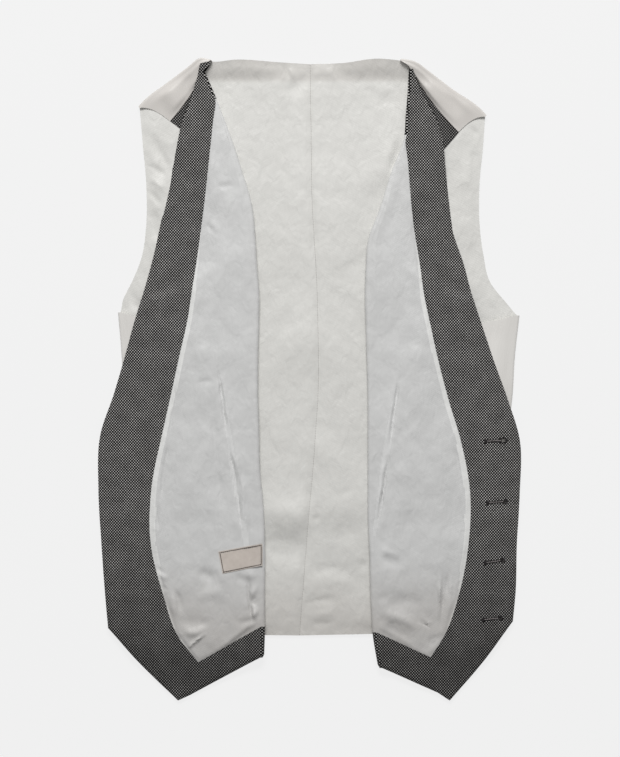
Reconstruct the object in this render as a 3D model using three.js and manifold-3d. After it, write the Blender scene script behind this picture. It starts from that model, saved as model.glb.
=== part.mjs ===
// A suit waistcoat laid out flat on its back, open, with both fronts turned back so that the inside shows.
//
// Millimetres. +Z is up from the surface that it lies on, +Y runs from the hem to the neck, and the sides are
// the wearer's: the wearer's right lies at -X and the wearer's left at +X.
//
// Each side is one run of cloth. The back panel lies on the surface. It wraps round a fold at the side and
// ends at the side seam, where the front starts. The front runs on towards the middle with its outer face up,
// turns over at the front fold, and runs out again to the front edge with its inside up. At the top the back
// wraps over a fold at the shoulder and meets the front at the shoulder seam.

import * as THREE from "three";
import { mergeVertices } from "three/addons/utils/BufferGeometryUtils.js";
import Module from "manifold-3d";

const wasm = await Module();
wasm.setup();

// ---- Driving dimensions ----

const SATIN = 1.0; // walls of the four cloths
const LINING = 1.0;
const SUITING = 1.2;
const FACING = 1.0;
const GAP = 0.3; // between cloths that lie on each other, and across a seam
const SEAM_INSET = GAP / 2; // each piece stops this far short of its seam line
const SIDE_FOLD_RADIUS = 2.0; // of the satin's middle, at the side and the shoulder
const FRONT_FOLD_RADIUS = 1.6; // of the suiting's middle
const FOLD_LOFT_WIDTH = 16; // the turned front settles over this width from its fold

const BACK_LEVEL = SATIN / 2; // heights of the middles of the cloths
const WRAP_LEVEL = BACK_LEVEL + 2 * SIDE_FOLD_RADIUS;
const UNDER_LEVEL = 4.6; // the front's stretch that lies under its turned-back stretch
const OVER_LEVEL = 6.3; // the turned-back stretch, with the other above the back
const OVER_BACK_LEVEL = 3.6; // the turned-back stretch where it lies on the back alone
const TABLE_LEVEL = 1.1; // the lowest that it sags, past the edges of what it lies on
const SETTLE_WIDTH = 34; // it comes down to the next level over this width
const SIDE_SAG = 2.6; // how far the front edge sags past the side fold
const SIDE_SAG_WIDTH = 22;
const HEM_SAG = 2.3; // how far both stretches sag below the back's hem
const HEM_SAG_START = 16; // it starts this far past the hem
const HEM_SAG_WIDTH = 30;
const POINT_SAG = 2.0; // and how much more the point sags
const POINT_SAG_WIDTH = 35;

const BUTTON_RADIUS = 7.5;
const BUTTON_THICKNESS = 3.0;
const BUTTON_LIFT = 0.3; // its face lies this far above the surface
const SHANK_RADIUS = 1.8;
const SHANK_CLEARANCE = 0.5; // under the cloth, which slopes a little
const BUTTON_FROM_EDGE = 17; // from the front edge to the button's middle
const BUTTONHOLE = { length: 21, width: 1.4, fromEdge: 13.5, tilt: 2 }; // tilt in degrees
const FASTENING_ROWS = [-63, -126, -187, -246]; // heights of the buttons and the buttonholes

const LABEL = { width: 42, height: 23, x: -71, y: -184, tilt: 11, thickness: 1.0 };

// ---- Sections ----
// A section crosses one side of the garment at one height. x counts outwards from the middle.
//   seam   the side seam, and above the underarm the front's armhole edge
//   fold   the front fold
//   inner  the inner edge of the facing
//   edge   the front edge: hem point, cutaway, front edge, neckline

const FRONT_COLUMNS = ["seamX", "seamY", "foldX", "foldY", "innerX", "innerY", "edgeX", "edgeY"];

const RIGHT_FRONT = table(FRONT_COLUMNS, [
  [150, -262, 46, -286, 122, -325, 135, -331], // hem
  [150, -240, 45, -254, 114, -291, 170, -297], // top of the hem facing
  [150, -215, 45, -222, 136, -262, 207, -256], // corner of the cutaway
  [150, -175, 45, -178, 150, -222, 210, -222],
  [150, -130, 46, -136, 163, -168, 214, -168],
  [150, -90, 50, -92, 162, -110, 217, -112],
  [150, -50, 51, -52, 151, -55, 215, -57],
  [150, -15, 52, -15, 142, -15, 201, -15],
  [151, 20, 52, 20, 134, 22, 190, 22],
  [155, 58, 51, 62, 125, 62, 179, 62], // underarm
  [112, 70, 51, 90, 120, 95, 169, 95],
  [76, 98, 53, 115, 115, 128, 160, 128],
  [64, 140, 55, 148, 110, 165, 152, 165],
  [68, 172, 58, 178, 106, 198, 145, 198],
  [86, 205, 68, 213, 102, 235, 137, 236],
  [112, 237, 80, 250, 99, 264, 131, 264],
  [132, 257, 91, 284, 100, 288, 123, 284], // tip of the lining
  [139, 263, 104, 309, 110, 309, 116, 309],
  [143, 266, 104, 321, 109, 321.5, 114, 322], // shoulder seam
]);

const LEFT_FRONT = table(FRONT_COLUMNS, [
  [158, -260, 71, -297, 133, -323, 145, -331],
  [158, -240, 65, -260, 125, -286, 176, -295],
  [158, -215, 63, -228, 140, -262, 210, -249],
  [158, -175, 62, -185, 154, -222, 213, -216],
  [158, -130, 60, -140, 164, -170, 214, -172],
  [158, -90, 60, -98, 166, -120, 217, -118],
  [158, -50, 60, -60, 156, -62, 217, -62],
  [158, -15, 60, -20, 144, -22, 205, -22],
  [161, 20, 59, 18, 133, 20, 190, 20],
  [166, 55, 58, 55, 125, 56, 178, 56],
  [122, 68, 57, 85, 118, 90, 167, 90],
  [84, 95, 58, 115, 114, 120, 159, 120],
  [69, 135, 60, 142, 109, 150, 149, 150],
  [80, 166, 72, 175, 105, 184, 144, 184],
  [100, 198, 83, 210, 102, 222, 140, 222],
  [132, 229, 96, 247, 102, 251, 137, 250], // tip of the lining
  [145, 244, 99, 272, 105, 273, 130, 270],
  [151, 251, 102, 297, 108, 297, 115, 297],
  [154, 255, 103, 315, 107, 315.5, 110, 316],
]);

// The back's outer edge: the side fold up to the underarm, then the armhole. middleY is the section's height
// at the centre seam.

const BACK_COLUMNS = ["middleY", "sideX", "sideY"];

const RIGHT_BACK = table(BACK_COLUMNS, [
  [-264, 178, -262],
  [-240, 179, -240],
  [-215, 181, -215],
  [-175, 184, -175],
  [-130, 187, -130],
  [-90, 189, -90],
  [-50, 191, -50],
  [-15, 192, -15],
  [20, 193, 20],
  [64, 197, 69], // underarm
  [90, 191, 84],
  [118, 182, 102],
  [150, 173, 125],
  [190, 168, 160],
  [234, 168, 200],
  [280, 172, 245],
  [325, 175, 280], // neck and shoulder fold
]);

const LEFT_BACK = table(BACK_COLUMNS, [
  [-264, 180, -260],
  [-240, 182, -240],
  [-215, 185, -215],
  [-175, 190, -175],
  [-130, 196, -130],
  [-90, 201, -90],
  [-50, 206, -50],
  [-15, 210, -15],
  [20, 212, 20],
  [62, 217, 66],
  [88, 200, 83],
  [116, 186, 102],
  [148, 180, 128],
  [188, 176, 160],
  [232, 176, 200],
  [278, 180, 243],
  [325, 182, 271],
]);

const UNDERARM = 9; // number of the section at the underarm, in the front and the back tables
const HEM_FACING_TOP = 1; // the facing crosses the whole front below this section

// The centre seam leans and bows a little. x is on the garment, not outwards.
const CENTRE_SEAM = table(["y", "x"], [
  [-264, -10],
  [-146, -1],
  [-80, 5],
  [0, 10],
  [100, 8],
  [180, 3],
  [325, 1],
]);

// The neck and shoulder of the back, from the centre seam outwards: share is the column's place along a
// straight section, top the neckline or the shoulder fold, and seamShare its place along the shoulder seam.
const NECK_COLUMN = 3;
const YOKE_COLUMNS = ["share", "topX", "topY", "seamShare"];

const RIGHT_YOKE = table(YOKE_COLUMNS, [
  [0, 0, 325, 0],
  [0.2, 36, 327, 0],
  [0.42, 76, 329, 0],
  [0.56, 101, 329, -0.04],
  [0.64, 112, 331, 0.12],
  [0.82, 145, 307, 0.55],
  [1, 177, 282, 1],
]);

const LEFT_YOKE = table(YOKE_COLUMNS, [
  [0, 0, 325, 0],
  [0.2, 36, 326, 0],
  [0.42, 72, 330, 0],
  [0.56, 95, 330, -0.04],
  [0.64, 110, 327, 0.16],
  [0.82, 147, 300, 0.58],
  [1, 184, 273, 1],
]);

// ---- Small helpers ----

function table(columns, rows) {
  return rows.map((row) => Object.fromEntries(columns.map((name, i) => [name, row[i]])));
}

function mix(a, b, t) {
  return a + (b - a) * t;
}

function smooth(t) {
  const s = Math.min(1, Math.max(0, t));
  return s * s * (3 - 2 * s);
}

// The value of one column where another has a given value, straight between the rows.
function lookUp(rows, keyColumn, valueColumn, key) {
  const next = rows.findIndex((row) => row[keyColumn] >= key);
  if (next < 0) return rows.at(-1)[valueColumn];
  if (next === 0) return rows[0][valueColumn];
  const [low, high] = [rows[next - 1], rows[next]];
  return mix(low[valueColumn], high[valueColumn], (key - low[keyColumn]) / (high[keyColumn] - low[keyColumn]));
}

// Points round a half-circle fold. crease is the outermost point of the cloth's middle, inwards the way back
// from it, and the half circle starts and ends one radius inwards of it.
function foldArc(crease, inwards, level, radius, steps) {
  return Array.from({ length: steps + 1 }, (_, i) => {
    const angle = (Math.PI * i) / steps;
    const reach = radius * (1 - Math.sin(angle));
    return new THREE.Vector3(
      crease.x + inwards.x * reach,
      crease.y + inwards.y * reach,
      level + radius * (1 - Math.cos(angle)),
    );
  });
}

// ---- A cloth shell ----
// A sheet is a grid of points on the cloth's middle, mesh[row][column], with the direction of its lining side
// at each point. A piece of cloth is the part of a sheet that a test keeps, between two depths.

function makeSheet(points, side, keeps = () => true) {
  const normals = points.map((row) => row.map(() => new THREE.Vector3()));
  const across = new THREE.Vector3();
  const along = new THREE.Vector3();
  forEachCell(points, keeps, (r, c) => {
    across.subVectors(points[r][c + 1], points[r][c]).add(points[r + 1][c + 1]).sub(points[r + 1][c]);
    along.subVectors(points[r + 1][c], points[r][c]).add(points[r + 1][c + 1]).sub(points[r][c + 1]);
    const normal = across.clone().cross(along).normalize().multiplyScalar(side);
    for (const [row, column] of cellCorners(r, c)) normals[row][column].add(normal);
  });
  normals.flat().forEach((normal) => normal.normalize());
  return { points, normals, side, keeps };
}

function forEachCell(points, keeps, visit) {
  for (let r = 0; r < points.length - 1; r += 1) {
    for (let c = 0; c < points[0].length - 1; c += 1) {
      if (keeps(r, c)) visit(r, c);
    }
  }
}

function cellCorners(r, c) {
  return [[r, c], [r, c + 1], [r + 1, c + 1], [r + 1, c]];
}

function cutPiece(sheet, low, high, keeps = () => true) {
  const { points, normals, side } = sheet;
  const width = points[0].length;
  const key = (r, c) => r * width + c;
  const cells = [];
  forEachCell(points, (r, c) => sheet.keeps(r, c) && keeps(r, c), (r, c) => cells.push(cellCorners(r, c)));

  const edges = new Map(); // edges of one cell only are the piece's outline
  for (const corners of cells) {
    corners.forEach(([r, c], i) => {
      const [nextR, nextC] = corners[(i + 1) % 4];
      const back = `${key(nextR, nextC)},${key(r, c)}`;
      if (!edges.delete(back)) edges.set(`${key(r, c)},${key(nextR, nextC)}`, [key(r, c), key(nextR, nextC)]);
    });
  }
  const pointOf = (id) => points[Math.floor(id / width)][id % width];
  const normalOf = (id) => normals[Math.floor(id / width)][id % width];

  const inwards = new Map(); // at each outline point, the ways in from its outline edges
  for (const edge of edges.values()) {
    const along = pointOf(edge[1]).clone().sub(pointOf(edge[0]));
    for (const id of edge) {
      const inward = normalOf(id).clone().multiplyScalar(side).cross(along).normalize();
      inwards.set(id, [...(inwards.get(id) ?? []), inward]);
    }
  }

  const positions = [];
  const numbers = new Map();
  for (const id of new Set(cells.flat().map(([r, c]) => key(r, c)))) {
    const place = pointOf(id).clone();
    if (inwards.has(id)) {
      const [first, second] = inwards.get(id);
      const miter = Math.max(0.5, 1 + first.dot(second));
      place.addScaledVector(first.clone().add(second), SEAM_INSET / miter);
    }
    numbers.set(id, positions.length / 3);
    for (const depth of [low, high]) {
      const corner = place.clone().addScaledVector(normalOf(id), depth);
      positions.push(corner.x, corner.y, Math.max(corner.z, 0)); // nothing reaches below the surface
    }
  }

  const triangles = [];
  const turn = side > 0 ? (a, b, c) => triangles.push(a, b, c) : (a, b, c) => triangles.push(a, c, b);
  for (const corners of cells) {
    const [a, b, c, d] = corners.map(([r, col]) => numbers.get(key(r, col)));
    turn(a + 1, b + 1, c + 1);
    turn(a + 1, c + 1, d + 1);
    turn(a, c, b);
    turn(a, d, c);
  }
  for (const [from, to] of edges.values()) {
    const [a, b] = [numbers.get(from), numbers.get(to)];
    turn(a, b, b + 1);
    turn(a, b + 1, a + 1);
  }
  const geometry = new THREE.BufferGeometry();
  geometry.setAttribute("position", new THREE.Float32BufferAttribute(positions, 3));
  geometry.setIndex(triangles);
  return geometry;
}

// ---- The front ----

const FRONT_FOLD_STEPS = 5;
const UNDER_SHARES = [0, 1 / 3, 2 / 3]; // columns from the side seam to the fold
const FOLD_START = UNDER_SHARES.length;
const FOLD_END = FOLD_START + FRONT_FOLD_STEPS;
const FACING_START = FOLD_END + 3; // column of the facing's inner edge
const CLOTH_OUTSIDE_FOLD = SUITING / 2 + GAP + LINING;

// How far the side fold reaches at a height. Above the underarm it is the back's armhole edge.
function backReach(back, y) {
  return lookUp(back, "sideY", "sideX", y);
}

// Where the front's under stretch ends and its fold starts. The lining goes round the outside of the fold.
function foldTurnX(row) {
  return row.foldX + CLOTH_OUTSIDE_FOLD + FRONT_FOLD_RADIUS;
}

// Height of the turned-back stretch's middle over what lies under it.
function overLevel(side, x, y) {
  const { front, back } = side;
  const underarmY = front[UNDERARM].seamY;
  const armhole = front.slice(UNDERARM);
  let level = OVER_LEVEL;
  if (y > underarmY) {
    const shelf = Math.max(lookUp(armhole, "seamY", "seamX", y), lookUp(armhole, "seamY", "seamX", y - 22)) + 8;
    const settled = smooth((x - shelf) / SETTLE_WIDTH) * smooth((y - underarmY) / SETTLE_WIDTH);
    level = mix(OVER_LEVEL, OVER_BACK_LEVEL, settled);
  }
  const hem = front[0];
  const underHemY = mix(hem.foldY, hem.seamY, (x - hem.foldX) / (hem.seamX - hem.foldX));
  const bulge = 2 * FRONT_FOLD_RADIUS - (OVER_LEVEL - UNDER_LEVEL);
  level += bulge * (1 - smooth((x - lookUp(front, "foldY", "foldX", y)) / FOLD_LOFT_WIDTH));
  level -= hemSag(side, y);
  level -= POINT_SAG * smooth((underHemY - HEM_SAG_START - y) / POINT_SAG_WIDTH);
  if (y < underarmY) level -= SIDE_SAG * smooth((x - backReach(back, y)) / SIDE_SAG_WIDTH);
  return Math.max(level, TABLE_LEVEL);
}

function hemSag(side, y) {
  return HEM_SAG * smooth((side.back[0].sideY - HEM_SAG_START - y) / HEM_SAG_WIDTH);
}

function frontSection(side, row) {
  const sign = side.sign;
  const place = (x, y, z) => new THREE.Vector3(sign * x, y, z);
  const turnX = foldTurnX(row);
  const underLevel = UNDER_LEVEL - hemSag(side, row.foldY);
  const under = UNDER_SHARES.map((share) => {
    const y = mix(row.seamY, row.foldY, share);
    return place(mix(row.seamX, turnX, share), y, UNDER_LEVEL - hemSag(side, y));
  });
  const crease = new THREE.Vector3(sign * (turnX - FRONT_FOLD_RADIUS), row.foldY, 0);
  const arc = foldArc(crease, new THREE.Vector3(sign, 0, 0), underLevel, FRONT_FOLD_RADIUS, FRONT_FOLD_STEPS);
  const linings = [1 / 3, 2 / 3, 1].map((share) => [
    mix(turnX, Math.max(row.innerX, turnX + 2), share),
    mix(row.foldY, row.innerY, share),
  ]);
  const reach = backReach(side.back, row.edgeY) + 1;
  const bendsOverSide = row.edgeX > reach + 8 && reach > row.innerX + 8;
  const bendX = bendsOverSide ? reach : mix(row.innerX, row.edgeX, 1 / 2);
  const bendShare = (bendX - row.innerX) / (row.edgeX - row.innerX);
  const facings = [[bendX, mix(row.innerY, row.edgeY, bendShare)], [row.edgeX, row.edgeY]];
  const over = [...linings, ...facings].map(([x, y]) => place(x, y, overLevel(side, x, y)));
  return [...under, ...arc, ...over];
}

// ---- The back ----

const SIDE_FOLD_STEPS = 4;
const YOKE_STEPS = 2; // rows from the shoulder fold to the shoulder seam

function centreSeamX(y) {
  return lookUp(CENTRE_SEAM, "y", "x", y);
}

// The shoulder fold, one radius in from its crease.
function shoulderArc(side, column) {
  const { yoke, sign } = side;
  const [start, end] = [yoke[NECK_COLUMN + 1], yoke.at(-1)];
  const inwards = new THREE.Vector3(sign * (end.topY - start.topY), start.topX - end.topX, 0).normalize();
  const crease = new THREE.Vector3(sign * yoke[column].topX, yoke[column].topY, 0);
  crease.addScaledVector(inwards, SATIN / 2);
  return foldArc(crease, inwards, BACK_LEVEL, SIDE_FOLD_RADIUS, SIDE_FOLD_STEPS);
}

// A point on the shoulder seam, from the neck to the armhole.
function shoulderSeam(side, share) {
  const seam = side.front.at(-1);
  const x = mix(foldTurnX(seam), seam.seamX, share);
  return new THREE.Vector3(side.sign * x, mix(seam.foldY, seam.seamY, share), WRAP_LEVEL);
}

function backPoints(side) {
  const { back, front, yoke, sign } = side;
  const last = back.length - 1;
  const top = yoke.map((column, c) => {
    if (c >= NECK_COLUMN) return shoulderArc(side, c)[0];
    const x = c === 0 ? centreSeamX(column.topY) : sign * column.topX;
    return new THREE.Vector3(x, column.topY, BACK_LEVEL);
  });
  const straight = (row, r) => yoke.map(({ share }) => {
    const wraps = r <= UNDERARM;
    const edgeX = sign * (row.sideX - (wraps ? SATIN / 2 + SIDE_FOLD_RADIUS : 0));
    return new THREE.Vector3(
      mix(centreSeamX(row.middleY), edgeX, share),
      mix(row.middleY, row.sideY, share),
      BACK_LEVEL,
    );
  });
  const topStraight = straight(back[last], last);
  const rows = back.map((row, r) => {
    const rise = r <= UNDERARM ? 0 : ((r - UNDERARM) / (last - UNDERARM)) ** 2;
    const flat = straight(row, r).map((point, c) => {
      return point.addScaledVector(top[c].clone().sub(topStraight[c]), rise);
    });
    const crease = new THREE.Vector3(sign * (row.sideX - SATIN / 2), row.sideY, 0);
    const arc = foldArc(crease, new THREE.Vector3(-sign, 0, 0), BACK_LEVEL, SIDE_FOLD_RADIUS, SIDE_FOLD_STEPS);
    const { seamX, seamY } = front[Math.min(r, UNDERARM)];
    const seam = new THREE.Vector3(sign * seamX, seamY, WRAP_LEVEL);
    return [...flat, ...arc.slice(1), seam];
  });
  const width = rows[0].length;
  for (let step = 1; step <= SIDE_FOLD_STEPS + YOKE_STEPS; step += 1) {
    rows.push(Array.from({ length: width }, (_, c) => {
      const column = Math.min(Math.max(c, NECK_COLUMN), yoke.length - 1);
      const arc = shoulderArc(side, column);
      if (step <= SIDE_FOLD_STEPS) return arc[step];
      const seam = shoulderSeam(side, yoke[column].seamShare);
      return arc.at(-1).clone().lerp(seam, (step - SIDE_FOLD_STEPS) / YOKE_STEPS);
    }));
  }
  return rows;
}

function backSheet(side) {
  const flatColumns = side.yoke.length - 1;
  const topRow = side.back.length - 1;
  return makeSheet(backPoints(side), side.sign, (r, c) => {
    if (r >= topRow) return c >= NECK_COLUMN && c < flatColumns;
    return c < flatColumns || r < UNDERARM;
  });
}

// ---- Pieces ----

function toSolid(geometry) {
  const bare = new THREE.BufferGeometry();
  bare.setAttribute("position", geometry.getAttribute("position").clone());
  bare.setIndex(geometry.getIndex());
  const merged = mergeVertices(bare, 1e-5);
  return new wasm.Manifold(new wasm.Mesh({
    numProp: 3,
    vertProperties: new Float32Array(merged.getAttribute("position").array),
    triVerts: new Uint32Array(merged.getIndex().array),
  }));
}

function fromSolid(solid) {
  const mesh = solid.getMesh();
  const geometry = new THREE.BufferGeometry();
  geometry.setAttribute("position", new THREE.Float32BufferAttribute(mesh.vertProperties, 3));
  geometry.setIndex([...mesh.triVerts]);
  return geometry;
}

const CLOTHS = {
  satin: { color: 0xd3cfcb, roughness: 0.45 },
  backLining: { color: 0xd2d1cc, roughness: 0.55 },
  frontLining: { color: 0xc6c7c8, roughness: 0.55 },
  suiting: { color: 0x3c3c3c, roughness: 0.9 },
  label: { color: 0xc8c0b8, roughness: 0.7 },
  button: { color: 0x262626, roughness: 0.35 },
};

function piece(name, geometry, cloth) {
  const material = new THREE.MeshStandardMaterial({ ...CLOTHS[cloth], metalness: 0 });
  geometry.computeVertexNormals();
  const mesh = new THREE.Mesh(geometry, material);
  mesh.name = name;
  return mesh;
}

function buttonholeCuts(side) {
  return FASTENING_ROWS.map((y) => {
    const edgeX = lookUp(side.front, "edgeY", "edgeX", y);
    const slot = new THREE.BoxGeometry(BUTTONHOLE.length, BUTTONHOLE.width, 30);
    slot.rotateZ(THREE.MathUtils.degToRad(BUTTONHOLE.tilt));
    slot.translate(side.sign * (edgeX - BUTTONHOLE.fromEdge - BUTTONHOLE.length / 2), y, 0);
    return toSolid(slot);
  });
}

function cutButtonholes(geometry, side) {
  return fromSolid(buttonholeCuts(side).reduce((solid, slot) => solid.subtract(slot), toSolid(geometry)));
}

// Height of a mesh over or under a place: from is where the look starts, way is +1 up or -1 down.
function surfaceHeight(mesh, x, y, from, way) {
  mesh.material.side = THREE.DoubleSide;
  const ray = new THREE.Raycaster(new THREE.Vector3(x, y, from), new THREE.Vector3(0, 0, way));
  const hit = ray.intersectObject(mesh)[0];
  mesh.material.side = THREE.FrontSide;
  return hit.point.z;
}

// A four-hole button as a dished disc, face down, with its thread shank up to the cloth.
function buttonGeometry(shankTop) {
  const base = BUTTON_LIFT;
  const top = base + BUTTON_THICKNESS;
  const profile = [
    [0, base + 0.7],
    [BUTTON_RADIUS * 0.62, base + 0.7],
    [BUTTON_RADIUS * 0.78, base],
    [BUTTON_RADIUS - 0.6, base + 0.15],
    [BUTTON_RADIUS, base + BUTTON_THICKNESS * 0.4],
    [BUTTON_RADIUS - 1.2, top],
    [SHANK_RADIUS, top],
    [SHANK_RADIUS, shankTop],
    [0, shankTop],
  ];
  const geometry = new THREE.LatheGeometry(profile.map(([r, z]) => new THREE.Vector2(r, z)), 20);
  geometry.rotateX(Math.PI / 2);
  return geometry;
}

// A small flat sheet laid on the lining, following its surface.
function labelGeometry(lining) {
  const { width, height, x, y, tilt, thickness } = LABEL;
  const angle = THREE.MathUtils.degToRad(tilt);
  const points = [-0.5, 0, 0.5].map((v) => [-0.5, -0.25, 0, 0.25, 0.5].map((u) => {
    const px = x + u * width * Math.cos(angle) - v * height * Math.sin(angle);
    const py = y + u * width * Math.sin(angle) + v * height * Math.cos(angle);
    const low = surfaceHeight(lining, px, py, 100, -1) + GAP;
    return new THREE.Vector3(px, py, low);
  }));
  return cutPiece(makeSheet(points, 1), 0, thickness);
}

function addSide(group, side) {
  const { name, sign } = side;
  const back = backSheet(side);
  const front = makeSheet(side.front.map((row) => frontSection(side, row)), sign);
  const liningDepth = SUITING / 2 + GAP;
  const isFacing = (r, c) => {
    if (r < HEM_FACING_TOP) return true;
    if (r >= side.liningTip) return c >= FOLD_START - 1;
    return c >= FACING_START;
  };
  const isLining = (r, c) => !isFacing(r, c);

  const suiting = cutPiece(front, -SUITING / 2, SUITING / 2);
  const facing = cutPiece(front, liningDepth, liningDepth + FACING, isFacing);
  const cut = side.hasButtonholes ? (geometry) => cutButtonholes(geometry, side) : (geometry) => geometry;
  const backLiningDepth = SATIN / 2 + GAP;
  group.add(
    piece(`back_${name}`, cutPiece(back, -SATIN / 2, SATIN / 2), "satin"),
    piece(`back_lining_${name}`, cutPiece(back, backLiningDepth, backLiningDepth + LINING), "backLining"),
    piece(`front_${name}`, cut(suiting), "suiting"),
    piece(`front_lining_${name}`, cutPiece(front, liningDepth, liningDepth + LINING, isLining), "frontLining"),
    piece(`facing_${name}`, cut(facing), "suiting"),
  );
}

// liningTip is the section where the facing's inner edge meets the front fold.
const RIGHT = {
  name: "right",
  sign: -1,
  front: RIGHT_FRONT,
  back: RIGHT_BACK,
  yoke: RIGHT_YOKE,
  liningTip: 16,
  hasButtonholes: false,
};

const LEFT = {
  name: "left",
  sign: 1,
  front: LEFT_FRONT,
  back: LEFT_BACK,
  yoke: LEFT_YOKE,
  liningTip: 15,
  hasButtonholes: true,
};

const waistcoat = new THREE.Group();
addSide(waistcoat, RIGHT);
addSide(waistcoat, LEFT);
waistcoat.add(piece("label", labelGeometry(waistcoat.getObjectByName("front_lining_right")), "label"));

FASTENING_ROWS.forEach((y, i) => {
  const x = RIGHT.sign * (lookUp(RIGHT.front, "edgeY", "edgeX", y) - BUTTON_FROM_EDGE);
  const under = surfaceHeight(waistcoat.getObjectByName("front_right"), x, y, 0, 1);
  const button = piece(`button_${i + 1}`, buttonGeometry(under - SHANK_CLEARANCE), "button");
  button.position.set(x, y, 0);
  waistcoat.add(button);
});

export default waistcoat;
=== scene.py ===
# A suit waistcoat laid out open on its back, its fronts turned back so that the linings and facings show.
# Sizes are millimetres until a piece's mesh is finished. x counts outwards from the middle on either side,
# y from the hem to the neck, and z up from the surface that the garment lies on.
import functools
import math

import bmesh
import bpy
from mathutils import Matrix, Vector, noise


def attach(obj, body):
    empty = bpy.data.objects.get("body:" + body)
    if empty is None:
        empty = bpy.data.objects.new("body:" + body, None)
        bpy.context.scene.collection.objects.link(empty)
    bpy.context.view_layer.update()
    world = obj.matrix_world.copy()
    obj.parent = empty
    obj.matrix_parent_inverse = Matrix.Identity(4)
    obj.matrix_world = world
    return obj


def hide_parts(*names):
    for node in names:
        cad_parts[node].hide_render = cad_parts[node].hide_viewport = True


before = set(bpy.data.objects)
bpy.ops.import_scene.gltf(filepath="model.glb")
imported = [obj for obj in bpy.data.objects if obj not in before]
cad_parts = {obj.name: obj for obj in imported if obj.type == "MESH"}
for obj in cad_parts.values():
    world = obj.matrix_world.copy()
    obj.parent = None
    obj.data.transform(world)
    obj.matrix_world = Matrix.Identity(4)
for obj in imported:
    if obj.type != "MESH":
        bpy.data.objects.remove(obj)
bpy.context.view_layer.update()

# ---- The outer back ----
# Two panels of warm grey satin, joined at the centre back. Each wraps round the side to the side seam, and
# over the shoulder to the shoulder seam, so the fronts' lines are given here with the back's.

MM = 0.001


def table(columns, rows):
    return [dict(zip(columns.split(), row)) for row in rows]


RIGHT_FRONT = table("seam_x seam_y fold_x fold_y inner_x inner_y edge_x edge_y", [
    (150, -262, 46, -286, 122, -325, 135, -331),  # hem
    (150, -240, 45, -254, 114, -291, 170, -297),  # top of the hem facing
    (150, -215, 45, -222, 136, -262, 207, -256),  # corner of the cutaway
    (150, -175, 45, -178, 150, -222, 210, -222),
    (150, -130, 46, -136, 163, -168, 214, -168),
    (150, -90, 50, -92, 162, -110, 217, -112),
    (150, -50, 51, -52, 151, -55, 215, -57),
    (150, -15, 52, -15, 142, -15, 201, -15),
    (151, 20, 52, 20, 134, 22, 190, 22),
    (155, 58, 51, 62, 125, 62, 179, 62),  # underarm
    (112, 70, 51, 90, 120, 95, 169, 95),
    (76, 98, 53, 115, 115, 128, 160, 128),
    (64, 140, 55, 148, 110, 165, 152, 165),
    (68, 172, 58, 178, 106, 198, 145, 198),
    (86, 205, 68, 213, 102, 235, 137, 236),
    (112, 237, 80, 250, 99, 264, 131, 264),
    (133, 258, 95, 289, 96.6, 291, 121, 290),  # tip of the lining
    (139, 263, 106.5, 316, 109.5, 316, 115.5, 311),
    (143, 266, 100, 326, 105, 326, 112, 324.5),  # shoulder seam
])

LEFT_FRONT = table("seam_x seam_y fold_x fold_y inner_x inner_y edge_x edge_y", [
    (158, -260, 71, -297, 133, -323, 145, -331),
    (158, -240, 65, -260, 125, -286, 176, -295),
    (158, -215, 63, -228, 140, -262, 210, -249),
    (158, -175, 62, -185, 154, -222, 213, -216),
    (158, -130, 60, -140, 164, -170, 214, -172),
    (158, -90, 60, -98, 166, -120, 217, -118),
    (158, -50, 60, -60, 156, -62, 217, -62),
    (158, -15, 60, -20, 144, -22, 205, -22),
    (161, 20, 59, 18, 133, 20, 190, 20),
    (166, 55, 58, 55, 125, 56, 178, 56),
    (122, 68, 57, 85, 118, 90, 167, 90),
    (84, 95, 58, 115, 114, 120, 159, 120),
    (69, 135, 60, 142, 109, 150, 149, 150),
    (80, 166, 72, 175, 105, 184, 144, 184),
    (100, 198, 83, 210, 102, 222, 140, 222),
    (132, 230, 98, 252, 99.3, 254, 137, 250),  # tip of the lining
    (145, 244, 99.5, 273, 104, 274, 130, 270),
    (151, 251, 101.5, 297, 105.5, 297, 115, 297),
    (154, 255, 102.5, 319, 104.5, 319.5, 107, 319),
])

RIGHT_BACK = table("middle_y side_x side_y", [
    (-264, 178, -262), (-240, 179, -240), (-215, 181, -215), (-175, 184, -175), (-130, 187, -130),
    (-90, 189, -90), (-50, 191, -50), (-15, 192, -15), (20, 193, 20),
    (64, 197, 69),  # underarm
    (90, 191, 84), (118, 182, 102), (150, 173, 125), (190, 168, 160), (234, 168, 200), (280, 172, 245),
    (325, 175, 280),  # neck and shoulder fold
])

LEFT_BACK = table("middle_y side_x side_y", [
    (-264, 180, -260), (-240, 182, -240), (-215, 185, -215), (-175, 190, -175), (-130, 196, -130),
    (-90, 201, -90), (-50, 206, -50), (-15, 210, -15), (20, 212, 20),
    (62, 217, 66),
    (88, 200, 83), (116, 186, 102), (148, 180, 128), (188, 176, 160), (232, 176, 200), (278, 180, 243),
    (325, 182, 271),
])

# Rows of the tables, counted from the hem.
HEM_FACING = 1
CUTAWAY = 2
UNDERARM = 9
YOKE = 16
FOLD_CORNER = 17
SHOULDER_SEAM = 18

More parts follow.
